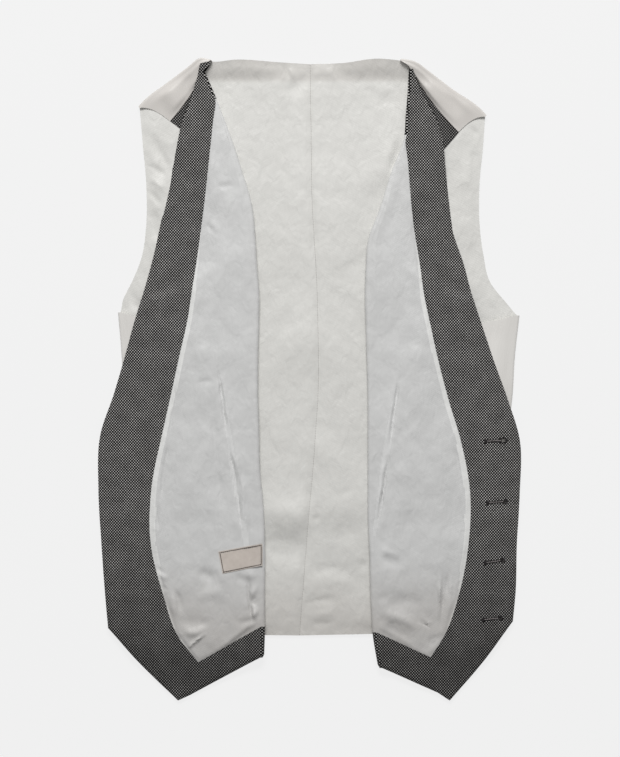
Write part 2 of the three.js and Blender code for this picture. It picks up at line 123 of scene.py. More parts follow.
# The neckline and the shoulder fold, from the centre seam outwards. share is the place along a straight row
# of the back, and seam_share the place along the shoulder seam.
RIGHT_YOKE = table("share top_x top_y seam_share", [
    (0, 0, 325, 0), (0.2, 36, 327, 0), (0.42, 76, 329, 0),
    (0.56, 101, 329, -0.04),  # neck end of the shoulder
    (0.64, 112, 331, 0.12), (0.7, 124, 322.5, 0.27), (0.82, 145, 307, 0.55), (0.96, 171, 287, 0.91),
    (1, 176, 281.5, 1),
])
LEFT_YOKE = table("share top_x top_y seam_share", [
    (0, 0, 325, 0), (0.2, 36, 326, 0), (0.42, 72, 330, 0),
    (0.56, 95, 330, -0.04),
    (0.64, 110, 327, 0.16), (0.7, 122.5, 318.5, 0.3), (0.82, 147, 300, 0.58), (0.96, 178, 278, 0.92),
    (1, 183, 272.5, 1),
])
NECK = 3  # the yokes' place of the neck end of the shoulder

# The centre seam leans and bows a little. x is on the garment here, not outwards.
CENTRE_SEAM = table("y x", [(-264, -10), (-146, -1), (-80, 5), (0, 10), (100, 8), (180, 3), (325, 1)])

SATIN = 1.0  # walls of the outer cloths
SUITING = 1.1
SIDE_RADIUS = 2.0  # of the satin's middle round the side and the shoulder
FOLD_RADIUS = 2.3  # of the suiting's middle round the front fold
TIP_RADIUS = 0.9  # the fold is this tight where it reaches the shoulder
FLAP_HUMP = 3.6  # how far the turned shoulder's armhole edge bows
WRAP_LIFT, FLAP_LIFT = 1.6, 2.0  # how far the satin puffs at the turned side and the turned shoulder
FOLD_OUTSIDE = 1.9  # from the suiting's middle to the outside of the lining there
BACK_LEVEL = SATIN / 2  # heights of the satin's middle
WRAP_LEVEL = BACK_LEVEL + 2 * SIDE_RADIUS


def mix(a, b, share):
    return a + (b - a) * share


def smooth(share):
    share = min(1.0, max(0.0, share))
    return share * share * (3 - 2 * share)


def look_up(rows, key_column, value_column, key):
    """The value of one column where another has a given value, straight between the rows."""
    if key <= rows[0][key_column]:
        return rows[0][value_column]
    for low, high in zip(rows, rows[1:]):
        if key <= high[key_column]:
            share = (key - low[key_column]) / (high[key_column] - low[key_column])
            return mix(low[value_column], high[value_column], share)
    return rows[-1][value_column]


def line_through(points, corners=()):
    """A smooth line through points, with a corner at the numbered ones. Its place t counts points."""
    steps = [after - before for before, after in zip(points, points[1:])]
    lengths = [step.length for step in steps]

    def heading(i, step):
        if i in corners or i in (0, len(steps)):
            return steps[step] / lengths[step]
        before, after = lengths[i - 1], lengths[i]
        return (steps[i - 1] * after / before + steps[i] * before / after) / (before + after)

    @functools.cache
    def at(t):
        i = min(int(t), len(steps) - 1)
        f = t - i
        leave, arrive = heading(i, i) * lengths[i], heading(i + 1, i) * lengths[i]
        return (points[i] * (1 + 2 * f) * (1 - f) ** 2 + leave * f * (1 - f) ** 2
                + points[i + 1] * f * f * (3 - 2 * f) + arrive * f * f * (f - 1))

    return at


def columns(rows, x, y):
    return [Vector((row[x], row[y])) for row in rows]


def centre_seam_x(y):
    return look_up(CENTRE_SEAM, "y", "x", y)


def make_side(name, sign, front, back, yoke, lining_tip, seam_bow):
    """One side of the garment: its tables, and the smooth lines through them."""
    first, last = yoke[NECK + 1], yoke[-1]
    inwards = Vector((last["top_y"] - first["top_y"], first["top_x"] - last["top_x"])).normalized()
    top = columns(yoke, "top_x", "top_y")
    top[0].x = sign * centre_seam_x(top[0].y)
    for i in range(NECK, len(top)):
        top[i] += inwards * (SATIN / 2 + SIDE_RADIUS)
    middle = [Vector((sign * centre_seam_x(row["middle_y"]), row["middle_y"])) for row in back]
    return {
        "name": name, "sign": sign, "front": front, "back": back, "yoke": yoke, "lining_tip": lining_tip,
        "inwards": inwards, "seam_bow": inwards * seam_bow,
        "seam": line_through(columns(front, "seam_x", "seam_y"), [UNDERARM]),
        "fold": line_through(columns(front, "fold_x", "fold_y"), [FOLD_CORNER]),
        "inner": line_through(columns(front, "inner_x", "inner_y"), [HEM_FACING]),
        "edge": line_through(columns(front, "edge_x", "edge_y"), [CUTAWAY]),
        "side": line_through(columns(back, "side_x", "side_y"), [UNDERARM]),
        "middle": line_through(middle),
        "top": line_through(top),
    }


RIGHT = make_side("right", -1, RIGHT_FRONT, RIGHT_BACK, RIGHT_YOKE, 16, 2.4)
LEFT = make_side("left", 1, LEFT_FRONT, LEFT_BACK, LEFT_YOKE, 15, 3)
SIDES = [RIGHT, LEFT]


def spaced(*stretches):
    """Places in order, from stretches of (start, end, length, spacing), each in equal steps."""
    places = [stretches[0][0]]
    for start, end, length, spacing in stretches:
        steps = max(1, round(length / spacing))
        places += [mix(start, end, i / steps) for i in range(1, steps + 1)]
    return places


def along_line(line, first, last, spacing):
    """Places along a line from one numbered point to another, about one spacing apart."""
    return spaced(*[(i, i + 1, (line(i + 1) - line(i)).length, spacing) for i in range(first, last)])


def with_rolls(places, at_start=False, at_end=False):
    """Adds two places close to an end, where the cloth's edge is rolled."""
    if at_start:
        close = [mix(places[0], places[1], share) for share in (0.16, 0.45)]
        places = [places[0], *close, *places[1:]]
    if at_end:
        close = [mix(places[-1], places[-2], share) for share in (0.45, 0.16)]
        places = [*places[:-1], *close, places[-1]]
    return places


def undulation(x, y, reach, height, seed):
    """Gentle unevenness of cloth that has been laid down by hand."""
    drift = 0.35 * noise.noise(Vector((x / reach, y / reach, seed + 5)))
    return height * noise.noise(Vector((x / reach + drift, y / (reach * 1.4) - drift, seed)))


def relief(rows):
    """Height at a place on the garment, from ridges and troughs that each run along a bowed line. A row holds
    the line's start x and y, its end x and y, its bow, and the crease's width and height."""
    creases = []
    for start_x, start_y, end_x, end_y, bow, width, height in rows:
        start, way = Vector((start_x, start_y)), Vector((end_x - start_x, end_y - start_y))
        creases.append((start, way / way.length, way.length, bow, width, height))

    def at(x, y):
        total = 0.0
        for start, way, length, bow, width, height in creases:
            dx, dy = x - start.x, y - start.y
            share = (dx * way.x + dy * way.y) / length
            if not 0 < share < 1:
                continue
            distance = (dy * way.x - dx * way.y - bow * 4 * share * (1 - share)) / width
            if abs(distance) < 3.5:
                reach = 3 * width + 8
                distance += 0.7 * noise.noise(Vector((x / reach, y / reach, width)))
                taper = smooth(share * 2.6) * smooth((1 - share) * 2.6)
                uneven = 1 + 0.6 * noise.noise(Vector((x / reach, y / reach, height)))
                total += height * taper * uneven * math.exp(-distance * distance)
        return total

    return at


def back_point(side, share, t, depth):
    """A point of the back's cloth. share runs 0 to 1 from the centre seam to the side, 1 to 2 round the side
    and 2 to 3 to the side seam. t counts rows, and goes on one round the shoulder and one to its seam."""
    row = min(t, YOKE)
    inset = (SATIN / 2 + SIDE_RADIUS) * (1 - smooth(row - UNDERARM))
    middle, edge = side["middle"](row), side["side"](row) - Vector((inset, 0))
    yoke_place = look_up_place(side["yoke"], min(share, 1))
    top = side["top"](yoke_place)
    if t > YOKE:
        angle = math.pi * min(t - YOKE, 1)
        reach = SIDE_RADIUS - depth
        place = top - side["inwards"] * reach * math.sin(angle)
        z = BACK_LEVEL + SIDE_RADIUS - reach * math.cos(angle)
        if t > YOKE + 1:
            seam = shoulder_seam(side, yoke_place)
            down = t - YOKE - 1
            hump = FLAP_HUMP * math.sin(math.pi * down ** 0.75) * smooth(share * 3 - 2)
            place = top.lerp(seam, down) - Vector((top.y - seam.y, seam.x - top.x)).normalized() * hump
            z = WRAP_LEVEL - depth
        return Vector((place.x, place.y, z))
    place = middle.lerp(edge, min(share, 1))
    rise = max(0, (row - UNDERARM) / (YOKE - UNDERARM)) ** 2
    if rise:
        straight = side["middle"](YOKE).lerp(side["side"](YOKE), min(share, 1))
        place = place + (top - straight) * rise
    if share <= 1:
        return Vector((place.x, place.y, BACK_LEVEL + depth))
    if share <= 2:
        angle = math.pi * (share - 1)
        reach = SIDE_RADIUS - depth
        z = BACK_LEVEL + SIDE_RADIUS - reach * math.cos(angle)
        return Vector((edge.x + reach * math.sin(angle), edge.y, z))
    place = edge.lerp(side["seam"](min(row, UNDERARM)), share - 2)
    return Vector((place.x, place.y, WRAP_LEVEL - depth))


def fold_radius(side, y):
    tip_y = side["front"][side["lining_tip"]]["fold_y"]
    return mix(FOLD_RADIUS, TIP_RADIUS, smooth((y - tip_y + 85) / 80))


def neck_stand(x, y):
    """How far the neck stands up off the surface. It rises from a crease, which is 8 mm below the neckline at
    the centre and some 18 mm below it further out."""
    crease = mix(317, 308.5, smooth((x - 8) / 45))
    ramp = max(0.0, y - crease) ** 2 / (max(0.0, y - crease) + 1.5)
    return 0.31 * ramp * mix(0.45, 1, smooth((x - 12) / 50)) * (1 - smooth((x - 104) / 52))


def look_up_place(yoke, share):
    """The place along the yoke's line, counted in its points, of a share."""
    for i, (low, high) in enumerate(zip(yoke, yoke[1:])):
        if share <= high["share"]:
            return i + (share - low["share"]) / (high["share"] - low["share"])
    return len(yoke) - 1


def shoulder_seam(side, yoke_place):
    """The point of the shoulder seam that a place along the yoke's line is sewn to."""
    i = min(int(yoke_place), len(side["yoke"]) - 2)
    low, high = side["yoke"][i], side["yoke"][i + 1]
    share = mix(low["seam_share"], high["seam_share"], yoke_place - i)
    fold = side["fold"](SHOULDER_SEAM) + Vector((FOLD_OUTSIDE + TIP_RADIUS, 0))
    return fold.lerp(side["seam"](SHOULDER_SEAM), share) + side["seam_bow"] * 4 * share * (1 - share)


def lay_cloth(name, across, along, keeps, place, material):
    """A closed shell of cloth from a grid. place turns a place across, a place along and a face of the
    cloth, 0 or 1, into a point and that point's place in the weave."""
    bm = bmesh.new()
    bmesh.ops.create_grid(bm, x_segments=len(across) - 1, y_segments=len(along) - 1, size=1)

    def number(co, places):
        return (co + 1) / 2 * (len(places) - 1)

    def middle(co, places):
        i = int(number(co, places))
        return mix(places[i], places[i + 1], 0.5)

    unwanted = []
    for face in bm.faces:
        centre = face.calc_center_median()
        if not keeps(middle(centre.x, across), middle(centre.y, along)):
            unwanted.append(face)
    bmesh.ops.delete(bm, geom=unwanted, context="FACES")
    bmesh.ops.solidify(bm, geom=bm.faces[:], thickness=0.1)
    weave = bm.loops.layers.uv.new("weave")
    in_weave = {}
    for vert in bm.verts:
        i, j = round(number(vert.co.x, across)), round(number(vert.co.y, along))
        point, in_weave[vert] = place(across[i], along[j], 1 if abs(vert.co.z) > 0.05 else 0)
        vert.co = point * MM
    for face in bm.faces:
        for loop in face.loops:
            loop[weave].uv = in_weave[loop.vert]
    bmesh.ops.recalc_face_normals(bm, faces=bm.faces[:])
    if bm.calc_volume(signed=True) < 0:
        bmesh.ops.reverse_faces(bm, faces=bm.faces[:])
    mesh = bpy.data.meshes.new(name)
    bm.to_mesh(mesh)
    bm.free()
    mesh.shade_smooth()
    mesh.set_sharp_from_angle(angle=math.radians(50))
    mesh.materials.append(material)
    piece = bpy.data.objects.new(name, mesh)
    bpy.context.scene.collection.objects.link(piece)
    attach(piece, "root")
    return piece


def linear(hex_colour):
    """A colour for a shader from an sRGB hex value."""
    values = [int(hex_colour[i:i + 2], 16) / 255 for i in (1, 3, 5)]
    return (*[v / 12.92 if v <= 0.04045 else ((v + 0.055) / 1.055) ** 2.4 for v in values], 1)


def add_node(tree, kind, settings={}, links={}):
    """A shader node with its settings, which are its own or its sockets', and its links. A link comes from a
    socket, or from a node's first output."""
    node = tree.nodes.new("ShaderNode" + kind)
    for name, value in settings.items():
        if isinstance(name, str) and hasattr(node, name):
            setattr(node, name, value)
        else:
            node.inputs[name].default_value = value
    for name, source in links.items():
        tree.links.new(source.outputs[0] if isinstance(source, bpy.types.Node) else source, node.inputs[name])
    return node


def new_material(name):
    material = bpy.data.materials.new(name)
    material.use_nodes = True
    tree = material.node_tree
    tree.nodes.clear()
    return material, tree


def viscose_satin():
    """Viscose satin: long floats give it a soft gloss that streaks along the warp. Warp threads 0.12 mm apart
    are too fine to show, so the streaks are drawn 1.5 mm wide."""
    material, tree = new_material("viscose_satin")
    cloth = add_node(tree, "UVMap", {"uv_map": "weave"})
    warp = add_node(tree, "Mapping", {"Scale": (1 / 0.0015, 1 / 0.040, 1)}, {"Vector": cloth})
    streaks = add_node(tree, "TexNoise", {"Scale": 1, "Detail": 3}, {"Vector": warp})
    clouds = add_node(tree, "TexNoise", {"Scale": 1 / 0.045, "Detail": 2}, {"Vector": cloth})
    shade = add_node(tree, "Mix", {"data_type": "FLOAT", 0: 0.35}, {2: clouds, 3: streaks})
    clean = add_node(tree, "Mix", {"data_type": "RGBA", 6: linear("#C8C5C1"), 7: linear("#E4E2DE")},
                     {0: shade})
    height = add_node(tree, "SeparateXYZ", {}, {0: cloth})
    # Painted shade: the satin is darker and browner on the turned shoulder flaps, high up the weave.
    shoulder = add_node(tree, "MapRange", {"interpolation_type": "SMOOTHSTEP", "From Min": 0.23,
                                           "From Max": 0.27, "To Max": 0.65}, {"Value": height.outputs[1]})
    colour = add_node(tree, "Mix", {"data_type": "RGBA", 7: linear("#B9B4AF")},
                      {0: shoulder, 6: clean.outputs[2]})
    bump = add_node(tree, "Bump", {"Strength": 0.25, "Distance": 0.0002}, {"Height": streaks})
    shader = add_node(tree, "BsdfPrincipled", {"Roughness": 0.42, "Specular IOR Level": 0.4,
                                               "Sheen Weight": 0.15, "Sheen Roughness": 0.4, "IOR": 1.5},
                      {"Base Color": colour.outputs[2], "Normal": bump})
    add_node(tree, "OutputMaterial", {}, {"Surface": shader})
    return material


SATIN_CLOTH = viscose_satin()
SATIN_CREASES = relief([
    (-156, 294, -149, 262, 2, 5, -1.6),  # right shoulder flap
    (-168, 285, -157, 266, 1, 6, 1.5),
    (-137, 307, -140, 270, -2, 8, 1.5),
    (-124, 318, -126, 285, -1, 4, -1.0),
    (-117, 320, -119, 300, 0, 3, 0.8),
    (142, 300, 158, 266, 2, 6, -1.5),  # left shoulder flap
    (148, 304, 174, 276, 1, 7, 1.5),
    (122, 316, 138, 276, -2, 8, 1.3),
    (116, 316, 124, 300, 0, 3, -0.8),
    (-195, 55, -186, 8, 2, 4, 0.8),  # below the right armhole
    (-184, 60, -178, 20, 1, 3, -0.6),
    (190, 52, 196, -20, -3, 5, 0.9),  # below the left armhole
    (204, 56, 208, -30, 2, 4, -0.7),
    (180, 50, 184, 10, 0, 3, -0.6),
])


def satin_place(side):
    def place(share, t, face):
        depth = mix(-SATIN / 2, SATIN / 2, face)
        point = back_point(side, share, t, depth)
        if share > 2 or t > YOKE + 1:
            if share > 2:
                lift = WRAP_LIFT * smooth((share - 2) * 4) * smooth((3 - share) * 6)
            else:
                lift = FLAP_LIFT * smooth((t - YOKE - 1) * 3) * smooth((YOKE + 2 - t) * 5)
                lift *= smooth((1 - share) * 8)
            point.z += lift + lift * 0.6 * SATIN_CREASES(side["sign"] * point.x, point.y)
        point.z += neck_stand(abs(point.x), point.y)
        weave = (point.x if share <= 2 else 2 * side["side"](min(t, UNDERARM)).x - point.x, point.y)
        point.x *= side["sign"]
        point.z = max(point.z, 0.0)
        return point, (weave[0] * MM, weave[1] * MM)

    return place


def back_grid(side, spacing):
    """Places across and along a back panel, about one spacing apart and closer round the turns."""
    neck, turn = side["yoke"][NECK]["share"], math.pi * SIDE_RADIUS
    across = spaced((0, neck, 105, spacing), (neck, 1, 82, spacing), (1, 2, turn, 0.9), (2, 3, 44, 3))
    along = along_line(side["side"], 0, YOKE, spacing)
    along += spaced((YOKE, YOKE + 1, turn, 0.9), (YOKE + 1, YOKE + 2, 42, 2.5))[1:]
    return across, along


def back_keeps(side):
    """Leaves out what a grid has past the armhole and behind the neckline."""
    neck = side["yoke"][NECK]["share"]
    return lambda share, t: (t < YOKE or neck < share < 1) and (share < 1 or t < UNDERARM)


for side in SIDES:
    across, along = back_grid(side, 4.5)
    panel = lay_cloth("outer_back_" + side["name"], across, along, back_keeps(side), satin_place(side),
                      SATIN_CLOTH)
    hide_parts("back_" + side["name"])

# ---- The back lining ----
# Two panels of a light twill lining, cut like the back and sewn to it round the neck, the armholes and the
# hem. It lies inside the back, so it is the palest and largest thing that shows between the fronts.


def lining_twill(name, dark, light, hem_tone_neck_shade_colour, spacing):
    """Viscose lining: a fine twill with a low gloss, finely crumpled all over, darker and warmer in patches
    towards the hem, and with painted shade of the neck's rise in a band below the neckline. Its ribs, 0.4 mm
    apart, are too fine to show and are drawn wider and faint."""
    material, tree = new_material(name)
    cloth = add_node(tree, "UVMap", {"uv_map": "weave"})
    ribs = add_node(tree, "Mapping", {"Rotation": (0, 0, math.radians(-63)), "Scale": (1 / spacing,) * 3},
                    {"Vector": cloth})
    twill = add_node(tree, "TexWave",
                     {"Scale": math.pi / 10, "Distortion": 0.3, "Detail": 1, "Detail Scale": 0.3},
                     {"Vector": ribs})
    slubs = add_node(tree, "Mapping", {"Scale": (1 / 0.002, 1 / 0.030, 1)}, {"Vector": cloth})
    uneven = add_node(tree, "TexNoise", {"Scale": 1, "Detail": 2}, {"Vector": slubs})
    clouds = add_node(tree, "TexNoise", {"Scale": 1 / 0.060, "Detail": 2}, {"Vector": cloth})
    threads = add_node(tree, "Mix", {"data_type": "FLOAT", 0: 0.6}, {2: twill.outputs[1], 3: uneven})
    shade = add_node(tree, "Mix", {"data_type": "FLOAT", 0: 0.6}, {2: threads, 3: clouds})
    clean = add_node(tree, "Mix", {"data_type": "RGBA", 6: linear(dark), 7: linear(light)}, {0: shade})
    height = add_node(tree, "SeparateXYZ", {}, {0: cloth})
    # Darker and warmer towards the hem; painted shade in a band below the neckline, where the neck stands up.
    hem = add_node(tree, "MapRange", {"interpolation_type": "SMOOTHSTEP", "From Min": -0.175,
                                      "From Max": -0.265, "To Max": 0.75}, {"Value": height.outputs[1]})
    neck = add_node(tree, "MapRange", {"interpolation_type": "SMOOTHSTEP", "From Min": 0.304,
                                       "From Max": 0.3105, "To Max": 0.7}, {"Value": height.outputs[1]})
    ends = add_node(tree, "Math", {"operation": "ADD"}, {0: hem, 1: neck})
    patches = add_node(tree, "MapRange", {"From Min": 0.3, "From Max": 0.7, "To Min": 0.55, "To Max": 1.0},
                       {"Value": clouds})
    hem_tone_neck_shade_mask = add_node(tree, "Math", {"operation": "MULTIPLY"}, {0: ends, 1: patches})
    colour = add_node(tree, "Mix", {"data_type": "RGBA", 7: linear(hem_tone_neck_shade_colour)}, {0: hem_tone_neck_shade_mask, 6: clean.outputs[2]})
    crumple = add_node(tree, "Mapping", {"Scale": (1 / 0.009, 1 / 0.016, 1)}, {"Vector": cloth})
    crumpled = add_node(tree, "TexNoise", {"Scale": 1, "Detail": 2, "Distortion": 0.3}, {"Vector": crumple})
    soft = add_node(tree, "Bump", {"Strength": 0.6, "Distance": 0.002}, {"Height": crumpled})
    bump = add_node(tree, "Bump", {"Strength": 0.3, "Distance": 0.0002}, {"Height": threads, "Normal": soft})
    shader = add_node(tree, "BsdfPrincipled", {"Roughness": 0.5, "Specular IOR Level": 0.35,
                                               "Sheen Weight": 0.1, "Sheen Roughness": 0.5, "IOR": 1.48},
                      {"Base Color": colour.outputs[2], "Normal": bump})
    add_node(tree, "OutputMaterial", {}, {"Surface": shader})
    return material


BACK_TWILL = lining_twill("viscose_twill_warm", "#CAC9C5", "#DBDAD6", "#BFBBB6", 0.0022)
# Depths of the lining's two faces from the satin's middle: in the back, round the turns and past them.
BACK_LINING_DEPTHS = (1.0, 1.5)
TURNED_LINING_DEPTHS = (0.7, 1.2)
UNDER_LINING_DEPTHS = (0.65, 1.15)
BACK_CREASES = relief([
    (-25.5, 326, -19, 309, 0, 1.8, -1.6),  # short creases at the back of the neck
    (-21.5, 325, -15, 308, 0, 2.2, 1.3),
    (2, 318, -27, 291, 3, 8, -1.6),
    (2, 318, 28, 316, 3, 5, 1.8),
    (3, 311, 24, 312, -2, 2.2, -1.0),
    (29, 316, 48, 311, 1, 2.6, -0.9),
    (52, 306, 88, 293, 2, 5, 0.7),
    (70, 290, 96, 283, 1, 3.5, -0.6),
    (93, 252, 81, 206, 2, 4.5, -2.0),  # beside the left fold
    (85, 252, 70, 200, 2, 6, 1.0),
    (-60, -135, 14, -138, -4, 22, 4.8),  # across the small of the back
    (-60, -167, 8, -170, -4, 14, -2.6),
    (0, -128, 75, -134, 4, 22, 1.6),
    (20, -166, 58, -160, 2, 9, -1.2),
    (4, -140, 11, -145, 0, 3, -0.7),
    (24, -122, 46, -111, 0, 4, -0.6),
    (-4, -199, 46, -196, 2, 5, -0.9),
    (-2, -214, 52, -209, 2, 7, 0.8),
    (-7, -233, 32, -226, 2, 4, -1.0),
    (-2, -249.5, 29, -248.5, -2.5, 2.6, -1.5),
    (-2, -243, 30, -241, 0, 5, 0.9),
    (50, -193, 62, -191, 0, 4, -0.9),
    (-12, -64, 40, -90, 4, 16, 0.9),
    (-40, 40, 30, 10, 8, 22, 0.9),
    (-30, 150, 50, 180, 8, 20, 0.8),
    (-166, 256, -146, 206, 3, 4.5, -1.8),  # inside the right armhole
    (-171, 223, -146, 206, 2, 2.4, -1.8),
    (-170, 212, -148, 192, 2, 3, 1.5),
    (-169, 196, -150, 176, 2, 2.4, -1.6),
    (-168, 182, -156, 140, 3, 5, -1.6),
    (-186, 98, -168, 66, -2, 5, -1.6),
    (161, 262, 176, 250, 1, 3, -1.1),  # inside the left armhole
    (170, 240, 170, 205, 1, 3, -0.9),
    (164, 235, 160, 190, 1, 5, 0.8),
    (172, 150, 186, 105, -3, 6, -1.0),
])
HALF_BACK, SHOULDER_ROW = 180, 45  # about how long a row across is, and the highest step between rows
CENTRE_DIP = 0.5  # the centre seam draws the lining down
SEAM_DIP = 0.35  # no crease goes deeper than this below the level of the seams


def back_lining_place(side):
    def place(share, t, face):
        depth = mix(*BACK_LINING_DEPTHS, face)
        if share > 2 or t > YOKE + 1:
            depth = mix(*UNDER_LINING_DEPTHS, face)
        elif share > 1 or t > YOKE:
            depth = mix(*TURNED_LINING_DEPTHS, face)
        point = back_point(side, share, t, depth)
        if share <= 1 and t <= YOKE:
            x = side["sign"] * point.x
            from_centre, from_side = share * HALF_BACK, (1 - share) * HALF_BACK
            from_hem, from_top = point.y - side["side"](0).y, abs(t - YOKE) * SHOULDER_ROW
            free = smooth(from_side / 14) * smooth(from_hem / 12) * smooth(from_top / 10)
            rise = 0.9 * smooth(from_centre / 6) + 1.0
            rise += undulation(x, point.y, 55, 1.8, 3.1) + undulation(x, point.y, 21, 0.7, 8.7)
            rise += undulation(x, point.y, 9, 0.2, 6.3)
            rise += BACK_CREASES(x, point.y)
            point.z += max(-SEAM_DIP, rise * mix(0.25, 1, free))
            point.z -= CENTRE_DIP * math.exp(-(from_centre / 1.4) ** 2)
        point.z += neck_stand(abs(point.x), point.y)
        weave = (point.x * MM, point.y * MM)
        point.x *= side["sign"]
        return point, weave

    return place


for side in SIDES:
    across, along = back_grid(side, 2.3)
    panel = lay_cloth("back_lining_" + side["name"] + "_panel", across, along, back_keeps(side),
                      back_lining_place(side), BACK_TWILL)
    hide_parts("back_lining_" + side["name"])

# ---- The fronts ----
# Worsted suiting with a pale birdseye on near-black. Each front starts at the side seam with its outer face
# up, turns over at the front fold and runs out to the front edge with its inside up.

UNDER_LEVEL = 4.6  # heights of the suiting's middle: under the turned-back stretch
OVER_LEVEL = 6.9  # in it
OVER_BACK_LEVEL = 4.3  # in it, where only the back lies below
LOWEST_LEVEL = 1.1  # and at the least
SETTLE = 34  # the reach in which it settles from one level to the next, beside the armhole
SIDE_SAG, SIDE_SAG_WIDTH = 2.6, 22  # how far it sinks past the back's side, and in what reach
HEM_SAG, HEM_SAG_START, HEM_SAG_WIDTH = 2.3, 16, 30  # past the hem, from 16 mm below the back's
POINT_SAG, POINT_SAG_WIDTH = 2.0, 35  # and at the front point
FOLD_LOFT_WIDTH = 20  # reach of the rounder cloth beside the front fold
LIP = 2.6  # width of the roll at a finished edge
ROLLED_DEPTHS = (-0.35, -0.02)  # of the suiting's two faces there, from its middle
HEM_ROW = 26  # about how far apart the two lowest rows are, square to the hem
FAR = 99  # out of reach of any roll


def hem_sag(side, y):
    return HEM_SAG * smooth((side["back"][0]["side_y"] - HEM_SAG_START - y) / HEM_SAG_WIDTH)


def over_level(side, x, y):
    """Height of the suiting's middle in the turned-back stretch, over what lies under it."""
    front = side["front"]
    underarm_y = front[UNDERARM]["seam_y"]
    armhole = front[UNDERARM:]
    level = OVER_LEVEL
    if y > underarm_y:
        shelf = max(look_up(armhole, "seam_y", "seam_x", height) for height in (y, y - 22)) + 8
        settled = smooth((x - shelf) / SETTLE) * smooth((y - underarm_y) / SETTLE)
        level = mix(OVER_LEVEL, OVER_BACK_LEVEL, settled)
    hem = front[0]
    share = (x - hem["fold_x"]) / (hem["seam_x"] - hem["fold_x"])
    under_hem_y = mix(hem["fold_y"], hem["seam_y"], share)
    loft = 2 * fold_radius(side, y) - (OVER_LEVEL - UNDER_LEVEL)
    level += loft * (1 - smooth((x - look_up(front, "fold_y", "fold_x", y)) / FOLD_LOFT_WIDTH))
    level += neck_stand(x, y)
    level -= hem_sag(side, y)
    level -= POINT_SAG * smooth((under_hem_y - HEM_SAG_START - y) / POINT_SAG_WIDTH)
    if y < underarm_y:
        level -= SIDE_SAG * smooth((x - look_up(side["back"], "side_y", "side_x", y)) / SIDE_SAG_WIDTH)
    ripple = undulation(x, y, 48, 1.1, 5.5 + side["sign"]) + undulation(x, y, 19, 0.3, 2.2 + side["sign"])
    return max(level + ripple, LOWEST_LEVEL)


def front_point(side, s, t, depth):
    """A point of the front's cloth, and its place in the weave. s runs 0 to 1 from the side seam to the
    fold, 1 to 2 round it, 2 to 3 to the facing's inner edge and 3 to 4 to the front edge."""
    seam, fold, inner, edge = side["seam"](t), side["fold"](t), side["inner"](t), side["edge"](t)
    radius = fold_radius(side, fold.y)
    turn = Vector((fold.x + FOLD_OUTSIDE + radius, fold.y))
    inner = Vector((max(inner.x, turn.x + 0.4), inner.y))
    if s <= 1:
        place = seam.lerp(turn, s) + side["seam_bow"] * 4 * s * (1 - s) * smooth(t - FOLD_CORNER)
        z = UNDER_LEVEL - hem_sag(side, place.y) + neck_stand(place.x, place.y) - depth
        return Vector((place.x, place.y, z)), (-place.x, place.y)
    if s <= 2:
        angle = math.pi * (s - 1)
        reach = radius + depth
        start = UNDER_LEVEL - hem_sag(side, turn.y) + neck_stand(turn.x, turn.y) + radius
        end = over_level(side, turn.x, turn.y) - radius
        z = mix(start, end, s - 1) - reach * math.cos(angle)
        point = Vector((turn.x - reach * math.sin(angle), turn.y, z))
        return point, (turn.x - math.pi * radius * (2 - s), turn.y)
    place = turn.lerp(inner, s - 2) if s <= 3 else inner.lerp(edge, s - 3)
    return Vector((place.x, place.y, over_level(side, place.x, place.y) + depth)), (place.x, place.y)


def from_edges(side, s, t):
    """How far a place on the front is from its front edge, its hem or its armhole."""
    to_edge = (4 - s) * (side["edge"](t) - side["inner"](t)).length if s > 3 else FAR
    to_hem = t * HEM_ROW if t < CUTAWAY else FAR
    to_armhole = s * (side["seam"](t) - side["fold"](t)).length if s < 1 and t > UNDERARM else FAR
    return min(to_edge, to_hem, to_armhole)


def front_grid(side, under, lining, facing, rows):
    """Places across and along a front, from how far apart they are in each stretch across and along."""
    turn = math.pi * FOLD_RADIUS
    across = spaced((0, 1, 100, under), (1, 2, turn, 0.6), (2, 3, 100, lining), (3, 4, 52, facing))
    along = along_line(side["edge"], 0, SHOULDER_SEAM, rows)
    return with_rolls(across, True, True), with_rolls(along, True, True)


